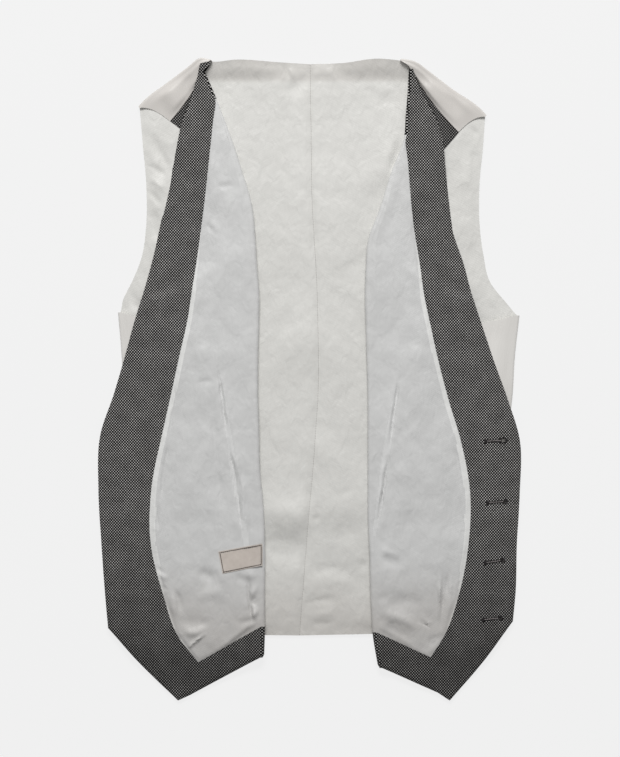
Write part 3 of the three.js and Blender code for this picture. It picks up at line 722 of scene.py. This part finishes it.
def worsted_birdseye():
    """Worsted with a birdseye weave: a matt near-black ground with a pale dot every 2.78 mm across and 3.03
    mm along, and one more between each four. The yarns are a little uneven, and the wool has a faint nap. The
    dots dim in soft random patches, painted shade of small wrinkles. They are duller towards the hem, and
    they carry painted shade in the stretch under the fold."""
    material, tree = new_material("worsted_birdseye")
    across, along, dot_radius = 0.00278, 0.00303, 0.0005
    dot_gap = (across + along) / 2 / math.sqrt(2)
    cloth = add_node(tree, "UVMap", {"uv_map": "weave"})
    wander = add_node(tree, "TexNoise", {"Scale": 1 / 0.012, "Detail": 1}, {"Vector": cloth})
    moved = add_node(tree, "VectorMath", {"operation": "MULTIPLY_ADD", 1: (0.0001, 0.0001, 0)},
                     {0: wander.outputs[1], 2: cloth})
    grain = add_node(tree, "Mapping", {"Rotation": (0, 0, math.radians(45 + 1)),
                                       "Scale": (math.sqrt(2) / across, math.sqrt(2) / along, 1)},
                     {"Vector": moved})
    lattice = add_node(tree, "TexVoronoi", {"voronoi_dimensions": "2D", "Scale": 1, "Randomness": 0.0},
                       {"Vector": grain})
    dots = add_node(tree, "MapRange",
                    {"interpolation_type": "SMOOTHSTEP", "From Min": dot_radius * 1.35 / dot_gap,
                     "From Max": dot_radius * 0.7 / dot_gap}, {"Value": lattice})
    # Painted shade of small wrinkles: the dots dim in soft random patches.
    wrinkle_shade_noise = add_node(tree, "TexNoise", {"Scale": 1 / 0.016, "Detail": 3}, {"Vector": cloth})
    strength = add_node(tree, "MapRange", {"From Min": 0.3, "From Max": 0.7, "To Min": 0.72, "To Max": 1.0},
                        {"Value": wrinkle_shade_noise})
    pale = add_node(tree, "Math", {"operation": "MULTIPLY"}, {0: dots, 1: strength})
    nap = add_node(tree, "TexNoise", {"Scale": 1 / 0.0009, "Detail": 2}, {"Vector": cloth})
    clouds = add_node(tree, "TexNoise", {"Scale": 1 / 0.030, "Detail": 3}, {"Vector": cloth})
    ground_shade = add_node(tree, "Mix", {"data_type": "FLOAT", 0: 0.5}, {2: nap, 3: clouds})
    ground = add_node(tree, "Mix", {"data_type": "RGBA", 6: linear("#040404"), 7: linear("#110F0F")},
                      {0: ground_shade})
    length = add_node(tree, "SeparateXYZ", {}, {0: cloth})
    # The dots are duller towards the hem.
    duller_towards_hem = add_node(tree, "MapRange", {"interpolation_type": "SMOOTHSTEP", "From Min": -0.31,
                                          "From Max": -0.13, "To Min": 0.62}, {"Value": length.outputs[1]})
    # Painted shade: on the stretch under the fold, where the weave's x is below zero, the dots are dimmer.
    painted_fold_shade = add_node(tree, "MapRange", {"From Min": -0.02, "From Max": -0.01, "To Min": 0.6},
                      {"Value": length})
    hem_dulling_fold_shade = add_node(tree, "Math", {"operation": "MULTIPLY"}, {0: duller_towards_hem, 1: painted_fold_shade})
    dot_shade = add_node(tree, "Math", {"operation": "MULTIPLY"}, {0: pale, 1: hem_dulling_fold_shade})
    colour = add_node(tree, "Mix", {"data_type": "RGBA", 7: linear("#D8D6D3")},
                      {0: dot_shade, 6: ground.outputs[2]})
    height = add_node(tree, "Math", {"operation": "MULTIPLY_ADD", 1: 0.4}, {0: nap, 2: pale})
    bump = add_node(tree, "Bump", {"Strength": 0.5, "Distance": 0.0003}, {"Height": height})
    shader = add_node(tree, "BsdfPrincipled", {"Roughness": 0.85, "Specular IOR Level": 0.08, "IOR": 1.5},
                      {"Base Color": colour.outputs[2], "Normal": bump})
    add_node(tree, "OutputMaterial", {}, {"Surface": shader})
    return material


BIRDSEYE = worsted_birdseye()


def suiting_place(side):
    def place(s, t, face):
        roll = smooth(from_edges(side, s, t) / LIP)
        depth = mix(mix(*ROLLED_DEPTHS, face), mix(-SUITING / 2, SUITING / 2, face), roll)
        point, weave = front_point(side, s, t, depth)
        point.x *= side["sign"]
        point.z = max(point.z, 0.05)
        return point, (weave[0] * MM, weave[1] * MM)

    return place


for side in SIDES:
    across, along = front_grid(side, 4, 5, 4, 4)
    panel = lay_cloth("suiting_front_" + side["name"], across, along, lambda s, t: True, suiting_place(side),
                      BIRDSEYE)
    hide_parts("front_" + side["name"])

# ---- The facings ----
# The same suiting again, inside each front along the neckline, the front edge and the hem. It is sewn to the
# front round its outer edge, so that both roll over into one firm edge.

FACING_DEPTHS = (0.75, 1.7)  # of its two faces, from the suiting's middle
ROLLED_FACING_DEPTHS = (0.0, 0.35)  # at the edge, where it is rolled
HEM_FACING_ROW = 30  # about how far the facing reaches up from the hem


def is_facing(side, s, t):
    """Whether a place is in the facing: along the hem, along the front, or past the lining's tip."""
    return t < HEM_FACING or s > 3 or (t > side["lining_tip"] and s > 0.8)


def facing_place(side):
    def place(s, t, face):
        roll = smooth(from_edges(side, s, t) / LIP)
        depth = mix(mix(*ROLLED_FACING_DEPTHS, face), mix(*FACING_DEPTHS, face), roll)
        to_lining = FAR
        if s > 3 and HEM_FACING <= t <= side["lining_tip"]:
            to_lining = (s - 3) * (side["edge"](t) - side["inner"](t)).length
        if t < HEM_FACING and s <= 3:
            to_lining = (HEM_FACING - t) * HEM_FACING_ROW
        depth -= 0.35 * math.exp(-(to_lining / 1.3) ** 2)
        point, weave = front_point(side, s, t, depth)
        point.x *= side["sign"]
        point.z = max(point.z, 0.1)
        return point, (weave[0] * MM, weave[1] * MM)

    return place


for side in SIDES:
    across, along = front_grid(side, 5, 2.6, 2.2, 2.4)
    panel = lay_cloth("facing_" + side["name"] + "_strip", across, along, functools.partial(is_facing, side),
                      facing_place(side), BIRDSEYE)
    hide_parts("facing_" + side["name"])

# ---- The front linings ----
# A cooler, finer twill than the back's, cut a little larger than the front and sewn to the facing, so it
# puffs between its seams. A long dart is pressed in from the hem side of the chest.

FRONT_TWILL = lining_twill("viscose_twill_cool", "#BEBEBD", "#D2D2D1", "#ACA7A2", 0.0018)
# A paler copy of the front's twill: painted highlight on the ridge of the tuck beside the facing.
TUCK_HIGHLIGHT_TWILL = lining_twill("viscose_twill_tuck_highlight", "#D2D2D0", "#E2E2E0", "#BFBBB6", 0.0018)
# Another paler copy: painted highlight on the fold of the dart.
DART_HIGHLIGHT_TWILL = lining_twill("viscose_twill_dart_highlight", "#C6C6C5", "#DADAD9", "#BFBBB6", 0.0018)
LINING_ROW = 34  # about how far apart the lining's two lowest rows are
TUCK_WIDTH = 5  # of the strip beside the facing, where the lining is folded double and has a painted highlight
# Each dart's seam, from the hem's end, and how far its fold reaches from there towards the front fold.
DARTS = {
    "right": table("y x width", [(-172, 67, 6), (-137, 73, 7), (-93, 81, 7), (-47, 86.5, 5.5), (5, 93, 3)]),
    "left": table("y x width", [(-160, 68.5, 3), (-114, 77, 6), (-80, 82, 7), (-47, 87.3, 7),
                                (-8, 92.4, 3.5)]),
}
FRONT_LINING_DEPTHS = (1.0, 1.5)  # of its two faces, from the suiting's middle
RIGHT_CREASES = relief([
    (-94.5, 13, -85, -60, 1, 1.4, -3.2),  # the dart
    (-85, -58, -68.5, -165, 2, 1.4, -3.6),
    (-90, 8, -80, -60, 1, 2.6, 1.3),
    (-80, -55, -62, -165, 2, 3, 2.0),
    (-100, 0, -85, -165, -2, 3.5, -1),
    (-63, -195, -57, -258, -1, 1.5, -3.0),  # it goes on below the label
    (-117, -4, -96, -3, 1, 3, -0.9),
    (-106, 162, -98, 149, 0, 2, -0.9),
    (-99, 165, -94, 150, 0, 3, 0.8),
    (-98, 199, -75, 199, 0, 2.5, -0.7),
    (-161, -190, -146, -201, -1, 1.7, -1.7),  # puckers beside the facing
    (-158, -196, -144, -206, -1, 2.6, 1.3),
    (-152, -212, -146, -216, 0, 1.5, -2.1),
    (-138, -215, -131, -241, 1, 3, -1.8),
    (-143, -216, -137, -246, 1, 3, 1.4),
    (-136, -246, -96, -248, -3, 5, -1.4),
    (-132, -259, -104, -254, -3, 4.5, 1.6),
    (-127, -278.5, -104, -260, 1, 1.4, 2.3),
    (-115, -196, -96, -207, 1, 6, -1.7),
    (-100, -186, -86, -214, 2, 5, 1),
    (-120, -226, -80, -224, 3, 7, 1),
    (-60, -234, -47, -218, 0, 3.2, -3.2),  # puckers beside the fold
    (-62, -224, -48, -208, 0, 3.2, 2.8),
    (-60, -246, -46, -232, 0, 3.5, 3.0),
    (-74, -252, -50, -250, 2, 3.5, -1.6),
    (-78, -203, -60, -209, 0, 3, -1.4),
    (-68, -199, -52, -203, 0, 3, 1.3),
    (-137, -2, -144, -60, 0, 1.4, -2.1),  # the tuck beside the facing
    (-143.5, -56, -155, -128, 1, 1.4, -2.3),
    (-155, -124, -156, -156, 0, 1.4, -1.9),
    (-118, 100, -110, 0, -4, 12, 0.9),
    (-88, 190, -74, 60, 3, 9, -0.8),
    (-70, 120, -62, -10, 2, 8, 0.8),
    (-120, -60, -118, -150, 3, 12, 0.9),
])
LEFT_CREASES = relief([
    (93.5, 6, 83, -75, -1, 1.4, -3.0),  # the dart
    (83.2, -72, 68, -166, 0, 1.4, -3.4),
    (90, 4, 79.5, -75, -1, 2.8, 1.4),
    (79.5, -70, 65.5, -166, 0, 2.8, 1.5),
    (77.5, -102, 74, -137, 0, 1.2, -1.5),
    (68.5, -160, 64.5, -262, 0, 1.4, -3.0),
    (70, -174, 95, -183, 0, 3, 1.3),
    (71, -182, 100, -192, 0, 5, -0.8),
    (134, -200, 134, -250, 0, 1.2, 2.4),  # the pocket's bag shows through
    (137.5, -200, 137.5, -248, 0, 1.2, -2.4),
    (141.5, -202, 141.5, -222, 0, 1.4, -1.5),
    (146, -198, 143, -246, 0, 2, 0.9),
    (111, -243, 129, -252.5, 0, 1.2, 2.3),
    (109, -246, 127, -256, 0, 2, -1),
    (78, -222, 121, -240, 2, 8, -1.5),
    (69, -236, 118, -259, 2, 6, 1.8),
    (74, -252, 110, -272, 1, 5, -0.9),
    (120, -275, 143, -262, 1, 4, -1),
    (66, -224, 84, -224, 0, 4, -0.9),
    (155, -120, 157.5, -170, 1, 1.4, -1.5),
    (148, -60, 155.5, -122, 2, 1.4, -1.3),
    (110, 60, 118, -60, 4, 12, 0.9),
    (80, 150, 92, 20, -3, 9, -0.7),
    (100, -60, 104, -160, -3, 14, 1),
])
LINING_CREASES = {"right": RIGHT_CREASES, "left": LEFT_CREASES}


def lining_rise(side, x, y):
    """How far the lining stands off its seams, from its place on the garment. x counts outwards."""
    front = side["front"]
    to_facing = look_up(front, "inner_y", "inner_x", y) - x
    from_fold = x - look_up(front, "fold_y", "fold_x", y)
    hem = front[HEM_FACING]
    share = (x - hem["fold_x"]) / (hem["inner_x"] - hem["fold_x"])
    hem_y = mix(hem["fold_y"], hem["inner_y"], smooth(share))
    free = smooth(to_facing / 5) * smooth((y - hem_y) / 7)
    rise = 0.9 * free
    rise += 1.0 * smooth((from_fold - 6) / 14) * smooth((to_facing - 12) / 18) * free
    rise += undulation(x, y, 36, 1.4, 11.3 + side["sign"]) * free
    rise += undulation(x, y, 14, 0.6, 4.1) * free
    return max(-SEAM_DIP, rise + LINING_CREASES[side["name"]](side["sign"] * x, y) * mix(0.4, 1, free))


def in_dart(side, x, y):
    """Whether a place is on the fold of the side's dart. x counts outwards."""
    dart = DARTS[side["name"]]
    seam = look_up(dart, "y", "x", y)
    return dart[0]["y"] < y < dart[-1]["y"] and seam - look_up(dart, "y", "width", y) < x < seam


def lining_place(side):
    def place(s, t, face):
        depth = mix(*FRONT_LINING_DEPTHS, face)
        point, weave = front_point(side, s, t, depth)
        if s >= 2:
            point.z += lining_rise(side, point.x, point.y) * smooth((s - 2) * 8)
            width = (side["inner"](t) - side["fold"](t)).length
            to_seam = min((3 - s) * width, (t - HEM_FACING) * LINING_ROW)
            point.z -= 0.3 * math.exp(-(to_seam / 1.3) ** 2)
        point.x *= side["sign"]
        return point, (weave[0] * MM, weave[1] * MM)

    return place


for side in SIDES:
    across, along = front_grid(side, 5, 1.3, 20, 2.4)
    tip = side["lining_tip"]
    panel = lay_cloth("front_lining_" + side["name"] + "_panel", across, along,
                      lambda s, t: s < 3 and HEM_FACING < t < tip, lining_place(side), FRONT_TWILL)
    panel.data.materials.append(TUCK_HIGHLIGHT_TWILL)
    panel.data.materials.append(DART_HIGHLIGHT_TWILL)
    for face in panel.data.polygons:
        x, y = side["sign"] * face.center.x / MM, face.center.y / MM
        width = TUCK_WIDTH * smooth((y + 235) / 60) * (1 - smooth((y - 60) / 110))
        # Painted highlight: faces in the tuck strip take the paler twill.
        if x > look_up(side["front"], "inner_y", "inner_x", y) - width:
            face.material_index = 1
        # Painted highlight: faces on the dart's fold take the other paler twill.
        elif in_dart(side, x, y):
            face.material_index = 2
    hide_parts("front_lining_" + side["name"])

# ---- The label ----
# A small woven label, bare, sewn to the right front's lining with a dark running stitch round its border.

LABEL = {"width": 44, "height": 23, "x": 69.4, "y": -184, "tilt": 11}
THREAD_RADIUS = 0.46  # of the stitches round the label and at the buttonholes


def label_spot(u, v):
    """A place on the label, from its middle, as x outwards and y. Its inner end runs along the fold."""
    tilt = math.radians(LABEL["tilt"])
    along, up = u * LABEL["width"], v * LABEL["height"]
    x = -LABEL["x"] + along * math.cos(tilt) - up * math.sin(tilt) * (0.5 - u)
    return -x, LABEL["y"] + along * math.sin(tilt) + up * math.cos(tilt)


def on_lining(side, x, y):
    """Height of the lining's upper face."""
    return over_level(side, x, y) + FRONT_LINING_DEPTHS[1] + lining_rise(side, x, y)


def label_place(u, v, face):
    x, y = label_spot(u, v)
    z = on_lining(RIGHT, x, y) + mix(0.05, 0.5, face)
    return Vector((-x, y, z)), (u * LABEL["width"] * MM, v * LABEL["height"] * MM)


def damask_label():
    """Woven polyester label: a dense flat weave, slightly glossy. Its cross ribs, 0.3 mm apart, are too fine
    to show and are drawn 1.2 mm apart."""
    material, tree = new_material("woven_label")
    cloth = add_node(tree, "UVMap", {"uv_map": "weave"})
    scaled = add_node(tree, "Mapping", {"Scale": (1 / 0.0012, 1 / 0.0012, 1)}, {"Vector": cloth})
    ribs = add_node(tree, "TexWave", {"Scale": math.pi / 10, "bands_direction": "Y", "Distortion": 0.5},
                    {"Vector": scaled})
    grime = add_node(tree, "TexNoise", {"Scale": 1 / 0.006, "Detail": 3}, {"Vector": cloth})
    shade = add_node(tree, "Mix", {"data_type": "FLOAT", 0: 0.7}, {2: ribs.outputs[1], 3: grime})
    colour = add_node(tree, "Mix", {"data_type": "RGBA", 6: linear("#B3A9A0"), 7: linear("#CFC6BE")},
                      {0: shade})
    bump = add_node(tree, "Bump", {"Strength": 0.4, "Distance": 0.0002}, {"Height": ribs.outputs[1]})
    shader = add_node(tree, "BsdfPrincipled", {"Roughness": 0.6, "Specular IOR Level": 0.4, "IOR": 1.55},
                      {"Base Color": colour.outputs[2], "Normal": bump})
    add_node(tree, "OutputMaterial", {}, {"Surface": shader})
    return material


across, along = (spaced((-0.5, 0.5, LABEL[size], 1.5)) for size in ("width", "height"))
label = lay_cloth("woven_label", across, along, lambda u, v: True, label_place, damask_label())
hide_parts("label")


def polyester_thread(name, hex_colour):
    """Spun polyester thread, twisted, with a faint gloss and fibres that vary its shade."""
    material, tree = new_material(name)
    place = add_node(tree, "TexCoord")
    fibres = add_node(tree, "TexNoise", {"Scale": 1 / 0.0008, "Detail": 2}, {"Vector": place.outputs[3]})
    light = tuple(min(1, 1.6 * value) for value in linear(hex_colour)[:3]) + (1,)
    colour = add_node(tree, "Mix", {"data_type": "RGBA", 6: linear(hex_colour), 7: light}, {0: fibres})
    shader = add_node(tree, "BsdfPrincipled", {"Roughness": 0.55, "Specular IOR Level": 0.4},
                      {"Base Color": colour.outputs[2]})
    add_node(tree, "OutputMaterial", {}, {"Surface": shader})
    return material


def sew(name, stitches, radius, material):
    """Stitches as one mesh. Each goes from one point to another, as a round-ended bit of thread."""
    bm = bmesh.new()
    for start, end in stitches:
        way = end - start
        turn = way.to_track_quat("Z", "Y").to_matrix().to_4x4()
        place = Matrix.Translation((start + end) / 2 * MM) @ turn @ Matrix.Diagonal(
            (radius * MM, radius * MM, way.length / 2 * MM, 1))
        bmesh.ops.create_uvsphere(bm, u_segments=6, v_segments=5, radius=1, matrix=place)
    mesh = bpy.data.meshes.new(name)
    bm.to_mesh(mesh)
    bm.free()
    mesh.shade_smooth()
    mesh.materials.append(material)
    piece = bpy.data.objects.new(name, mesh)
    bpy.context.scene.collection.objects.link(piece)
    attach(piece, "root")
    return piece


def running_stitch(points, spacing, length):
    """Stitches of one length, one spacing apart along a line of points."""
    stitches, gone = [], spacing / 2
    for start, end in zip(points, points[1:]):
        way = end - start
        while gone < way.length:
            middle = start + way * (gone / way.length)
            half = way.normalized() * length / 2
            stitches.append((middle - half, middle + half))
            gone += spacing
        gone -= way.length
    return stitches


border = []
for u, v in [(-1, -1), (0, -1), (1, -1), (1, 0), (1, 1), (0, 1), (-1, 1), (-1, 0), (-1, -1)]:
    x, y = label_spot(u * 0.47, v * 0.44)
    border.append(Vector((-x, y, on_lining(RIGHT, x, y) + 0.6)))
sew("label_stitches", running_stitch(border, 2.0, 1.9), THREAD_RADIUS,
    polyester_thread("brown_thread", "#2C2522"))

# ---- The buttonholes ----
# Four worked buttonholes in the left front: a slit through both cloths with a round eye towards the edge and
# a bar at the other end, all closed with dark thread. The highest one gapes at its eye.

BUTTONHOLE = {"length": 21, "slit": 0.45, "eye_from_end": 2.5}
# The highest eye is stretched along the buttonhole, and the stitches round it a little less.
BUTTONHOLES = table("y from_edge tilt eye stretch ring_stretch", [
    (-63, 14.5, 3, 1.6, 1.5, 1.3), (-126, 11.8, 4, 0.8, 1, 1), (-187, 11.7, 8, 0.8, 1, 1),
    (-246, 10.5, 5, 0.8, 1, 1),
])
CUT_LEVEL, CUT_HEIGHT = 5, 40  # the middle and height of the cutters, which go through every layer


def buttonhole_spot(row, along, up):
    """A place at a buttonhole, from the bar's end of the slit, as x outwards and y."""
    tilt = math.radians(row["tilt"])
    bar_x = look_up(LEFT_FRONT, "edge_y", "edge_x", row["y"]) - row["from_edge"] - BUTTONHOLE["length"]
    x = bar_x + along * math.cos(tilt) - up * math.sin(tilt)
    return x, row["y"] + (along - BUTTONHOLE["length"] / 2) * math.sin(tilt) + up * math.cos(tilt)


def cut(piece, make_cutter):
    """Cuts closed shapes out of a piece. make_cutter fills a bmesh with them, in metres."""
    bm = bmesh.new()
    make_cutter(bm)
    shapes = bpy.data.meshes.new("cutter")
    bm.to_mesh(shapes)
    bm.free()
    cutter = bpy.data.objects.new("cutter", shapes)
    bpy.context.scene.collection.objects.link(cutter)
    knife = piece.modifiers.new("knife", "BOOLEAN")
    knife.operation, knife.solver, knife.object = "DIFFERENCE", "EXACT", cutter
    bpy.context.view_layer.update()
    mesh = bpy.data.meshes.new_from_object(piece.evaluated_get(bpy.context.evaluated_depsgraph_get()))
    piece.modifiers.remove(knife)
    mesh.name = piece.name
    piece.data = mesh
    bpy.data.objects.remove(cutter)
    bpy.data.meshes.remove(shapes)


def slit_shapes(aside, bm):
    """The slits. Their lips lie over one another, so the suiting's are a little aside of the facing's."""
    for row in BUTTONHOLES:
        x, y = buttonhole_spot(row, BUTTONHOLE["length"] / 2 - 0.5, aside)
        size = [value * MM for value in (BUTTONHOLE["length"] - 2, BUTTONHOLE["slit"], CUT_HEIGHT)]
        place = (Matrix.Translation(Vector((x, y, CUT_LEVEL)) * MM)
                 @ Matrix.Rotation(math.radians(row["tilt"]), 4, "Z") @ Matrix.Diagonal((*size, 1)))
        bmesh.ops.create_cube(bm, size=1, matrix=place)


def eye_shapes(rows, bm):
    """The round eyes of some of the buttonholes."""
    for row in rows:
        x, y = buttonhole_spot(row, BUTTONHOLE["length"] - BUTTONHOLE["eye_from_end"], 0)
        radius = row["eye"] * MM
        stretch = Matrix.Diagonal((row["stretch"], 1, 1, 1))
        place = Matrix.Translation(Vector((x, y, CUT_LEVEL)) * MM) @ stretch
        bmesh.ops.create_cone(bm, cap_ends=True, segments=16, radius1=radius, radius2=radius,
                              depth=CUT_HEIGHT * MM, matrix=place)


facing, suiting = bpy.data.objects["facing_left_strip"], bpy.data.objects["suiting_front_left"]
cut(facing, functools.partial(slit_shapes, 0))
cut(facing, functools.partial(eye_shapes, BUTTONHOLES))
cut(suiting, functools.partial(slit_shapes, 0.8))
cut(suiting, functools.partial(eye_shapes, BUTTONHOLES[:1]))

purl, lips = [], []
length = BUTTONHOLE["length"]
for row in BUTTONHOLES:
    # along both lips of the slit, round the eye, and across the bar
    rays = [((along, up * 0.4), (along + 0.2, up * 1.4))
            for along in spaced((0.5, length - 4.5, length - 5, 0.85)) for up in (-1, 1)]
    eye = Vector((length - BUTTONHOLE["eye_from_end"], 0))
    for step in range(14):
        angle = math.radians(-150 + step * 300 / 13)
        way = Vector((math.cos(angle) * row["ring_stretch"], math.sin(angle)))
        rays.append((eye + way * row["eye"], eye + way * (row["eye"] + 2.1)))
    rays += [((-1.4 + 0.5 * k, -2.9), (-0.9 + 0.5 * k, 2.3)) for k in range(5)]
    for start, end in rays:
        for lift in (FACING_DEPTHS[1] + 0.25, -SUITING / 2 - 0.2):
            ends = []
            for along, up in (start, end):
                x, y = buttonhole_spot(row, along, up)
                ends.append(Vector((x, y, over_level(LEFT, x, y) + lift)))
            purl.append(ends)
    points = []
    for k in range(8):
        x, y = buttonhole_spot(row, mix(1.5, length - 5, k / 7), 0)
        points.append(Vector((x, y, over_level(LEFT, x, y) + FACING_DEPTHS[1] + 0.3)))
    lips += zip(points, points[1:])
sew("buttonhole_stitches", purl, THREAD_RADIUS, polyester_thread("black_thread", "#171314"))
sew("buttonhole_lips", lips, 0.34, polyester_thread("grey_thread", "#8E8887"))

# ---- The buttons ----
# Four-hole buttons in dark moulded casein, sewn to the outside of the right front, so they lie face down
# under it. Each has a dished face, a round rim and a short wound shank of thread up to the cloth.

BUTTON_FROM_EDGE = 17
HOLE_RADIUS, HOLE_OFFSET = 0.75, 1.4  # a hole's middle is so far from the button's, both ways
# Half of a button's section, as radius and height, from the dish in its face to the middle of its back.
BUTTON_PROFILE = [(0, 1.0), (4.4, 1.0), (5.0, 0.85), (5.5, 0.35), (6.0, 0.3), (6.8, 0.4), (7.3, 0.8),
                  (7.5, 1.5), (7.3, 2.3), (6.6, 2.9), (5.6, 3.2), (4.4, 3.3), (0, 3.3)]


def moulded_casein():
    """Moulded casein, polished by tumbling: a deep brown-black with faint paler veins and a soft gloss."""
    material, tree = new_material("moulded_casein")
    place = add_node(tree, "TexCoord")
    veins = add_node(tree, "TexNoise", {"Scale": 1 / 0.004, "Detail": 4, "Distortion": 1.5},
                     {"Vector": place.outputs[3]})
    colour = add_node(tree, "Mix", {"data_type": "RGBA", 6: linear("#171413"), 7: linear("#2E2825")},
                      {0: veins})
    shader = add_node(tree, "BsdfPrincipled", {"Roughness": 0.3, "IOR": 1.54},
                      {"Base Color": colour.outputs[2]})
    add_node(tree, "OutputMaterial", {}, {"Surface": shader})
    return material


CASEIN = moulded_casein()
SEWING_THREAD = polyester_thread("dark_grey_thread", "#2B2929")


def hole_shapes(centre, bm):
    for dx in (-HOLE_OFFSET, HOLE_OFFSET):
        for dy in (-HOLE_OFFSET, HOLE_OFFSET):
            place = Matrix.Translation((centre + Vector((dx, dy, 2))) * MM)
            bmesh.ops.create_cone(bm, cap_ends=True, segments=16, radius1=HOLE_RADIUS * MM,
                                  radius2=HOLE_RADIUS * MM, depth=0.02, matrix=place)


for i, row in enumerate(BUTTONHOLES):
    edge_x = look_up(RIGHT_FRONT, "edge_y", "edge_x", row["y"])
    centre = Vector((BUTTON_FROM_EDGE - edge_x, row["y"], 0))
    bm = bmesh.new()
    rim = [bm.verts.new(((centre.x + r) * MM, centre.y * MM, z * MM)) for r, z in BUTTON_PROFILE]
    outline = [bm.edges.new(pair) for pair in zip(rim, rim[1:])]
    bmesh.ops.spin(bm, geom=rim + outline, cent=centre * MM, axis=(0, 0, 1), angle=math.tau, steps=48,
                   use_merge=True)
    bmesh.ops.remove_doubles(bm, verts=bm.verts[:], dist=0.00001)
    bmesh.ops.recalc_face_normals(bm, faces=bm.faces[:])
    mesh = bpy.data.meshes.new("button_%d_body" % (i + 1))
    bm.to_mesh(mesh)
    bm.free()
    mesh.materials.append(CASEIN)
    button = bpy.data.objects.new(mesh.name, mesh)
    bpy.context.scene.collection.objects.link(button)
    cut(button, functools.partial(hole_shapes, centre))
    button.data.shade_smooth()
    button.data.set_sharp_from_angle(angle=math.radians(40))
    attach(button, "root")
    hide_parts("button_%d" % (i + 1))

    cloth_z = over_level(RIGHT, -centre.x, centre.y) - SUITING / 2
    strands = []  # three threads over each pair of holes and down them, and the shank
    for dy in (-HOLE_OFFSET, HOLE_OFFSET):
        for y in (dy - 0.35, dy, dy + 0.35):
            strands.append((centre + Vector((-1.6, y, 0.85)), centre + Vector((1.6, y, 0.85))))
            for x in (-HOLE_OFFSET, HOLE_OFFSET):
                strands.append((centre + Vector((x, y, 0.8)), centre + Vector((x * 0.8, y * 0.8, 3.5))))
    for k in range(12):
        angle = math.tau * k / 12
        way = Vector((math.cos(angle), math.sin(angle), 0))
        low, high = way * 1.1 + Vector((0, 0, 3.1)), way * 0.9 + Vector((0, 0, cloth_z + 0.2))
        strands.append((centre + low, centre + high))
    sew("button_%d_thread" % (i + 1), strands, 0.3, SEWING_THREAD)

# ---- The seam stitches ----
# The lining's centre seam shows as a fine line of small stitches, and a browner thread pricks through along
# the shoulder seams.

centre_line = []
for i in range(YOKE * 8 + 1):
    spot = back_lining_place(LEFT)(0.0015, i / 8, 1)[0]
    centre_line.append(Vector((spot.x - 0.1, spot.y, spot.z + 0.12)))
for side in SIDES:
    shoulder_line = []
    for i in range(21):
        spot = shoulder_seam(side, mix(NECK + 0.6, len(side["yoke"]) - 1.05, i / 20))
        rise = neck_stand(spot.x, spot.y) + 0.9
        shoulder_line.append(Vector((side["sign"] * spot.x, spot.y, WRAP_LEVEL + rise)))
    sew("shoulder_stitches_" + side["name"], running_stitch(shoulder_line, 2.2, 1.6), 0.3,
        polyester_thread("umber_thread", "#4C433F"))
sew("centre_seam_stitches", running_stitch(centre_line, 2.6, 1.7), 0.22,
    polyester_thread("pale_thread", "#8E8C88"))

# ---- The surface and the light ----

bpy.ops.mesh.primitive_plane_add(size=6, location=(0, 0, -0.0004))
floor = bpy.context.object
floor.name = "floor"
paper, tree = new_material("white_paper")
matt = add_node(tree, "BsdfPrincipled",
                {"Base Color": linear("#4E4E4E"), "Roughness": 1, "Specular IOR Level": 0,
                 "Emission Color": linear("#F1F1F1"), "Emission Strength": 0.92})
add_node(tree, "OutputMaterial", {}, {"Surface": matt})
floor.data.materials.append(paper)

world = bpy.data.worlds.new("studio")
bpy.context.scene.world = world
world.use_nodes = True
world.node_tree.nodes["Background"].inputs["Color"].default_value = linear("#FFFFFF")
world.node_tree.nodes["Background"].inputs["Strength"].default_value = 0.36

key = bpy.data.lights.new("key", "AREA")
key.shape = "RECTANGLE"
key.size, key.size_y = 1.6, 0.9
key.energy = 87
key_object = bpy.data.objects.new("key", key)
key_object.location = (-0.1, 2.3, 2.0)
key_object.rotation_euler = (Vector((0, 0, 0)) - key_object.location).to_track_quat("-Z", "Y").to_euler()
bpy.context.scene.collection.objects.link(key_object)

camera_data = bpy.data.cameras.new("camera")
camera_data.lens = 115.2
camera_data.sensor_width = 36
camera = bpy.data.objects.new("camera", camera_data)
camera.location = (0.001, 0.001, 2.5)
bpy.context.scene.collection.objects.link(camera)
bpy.context.scene.camera = camera
bpy.context.scene.view_settings.view_transform = "Standard"
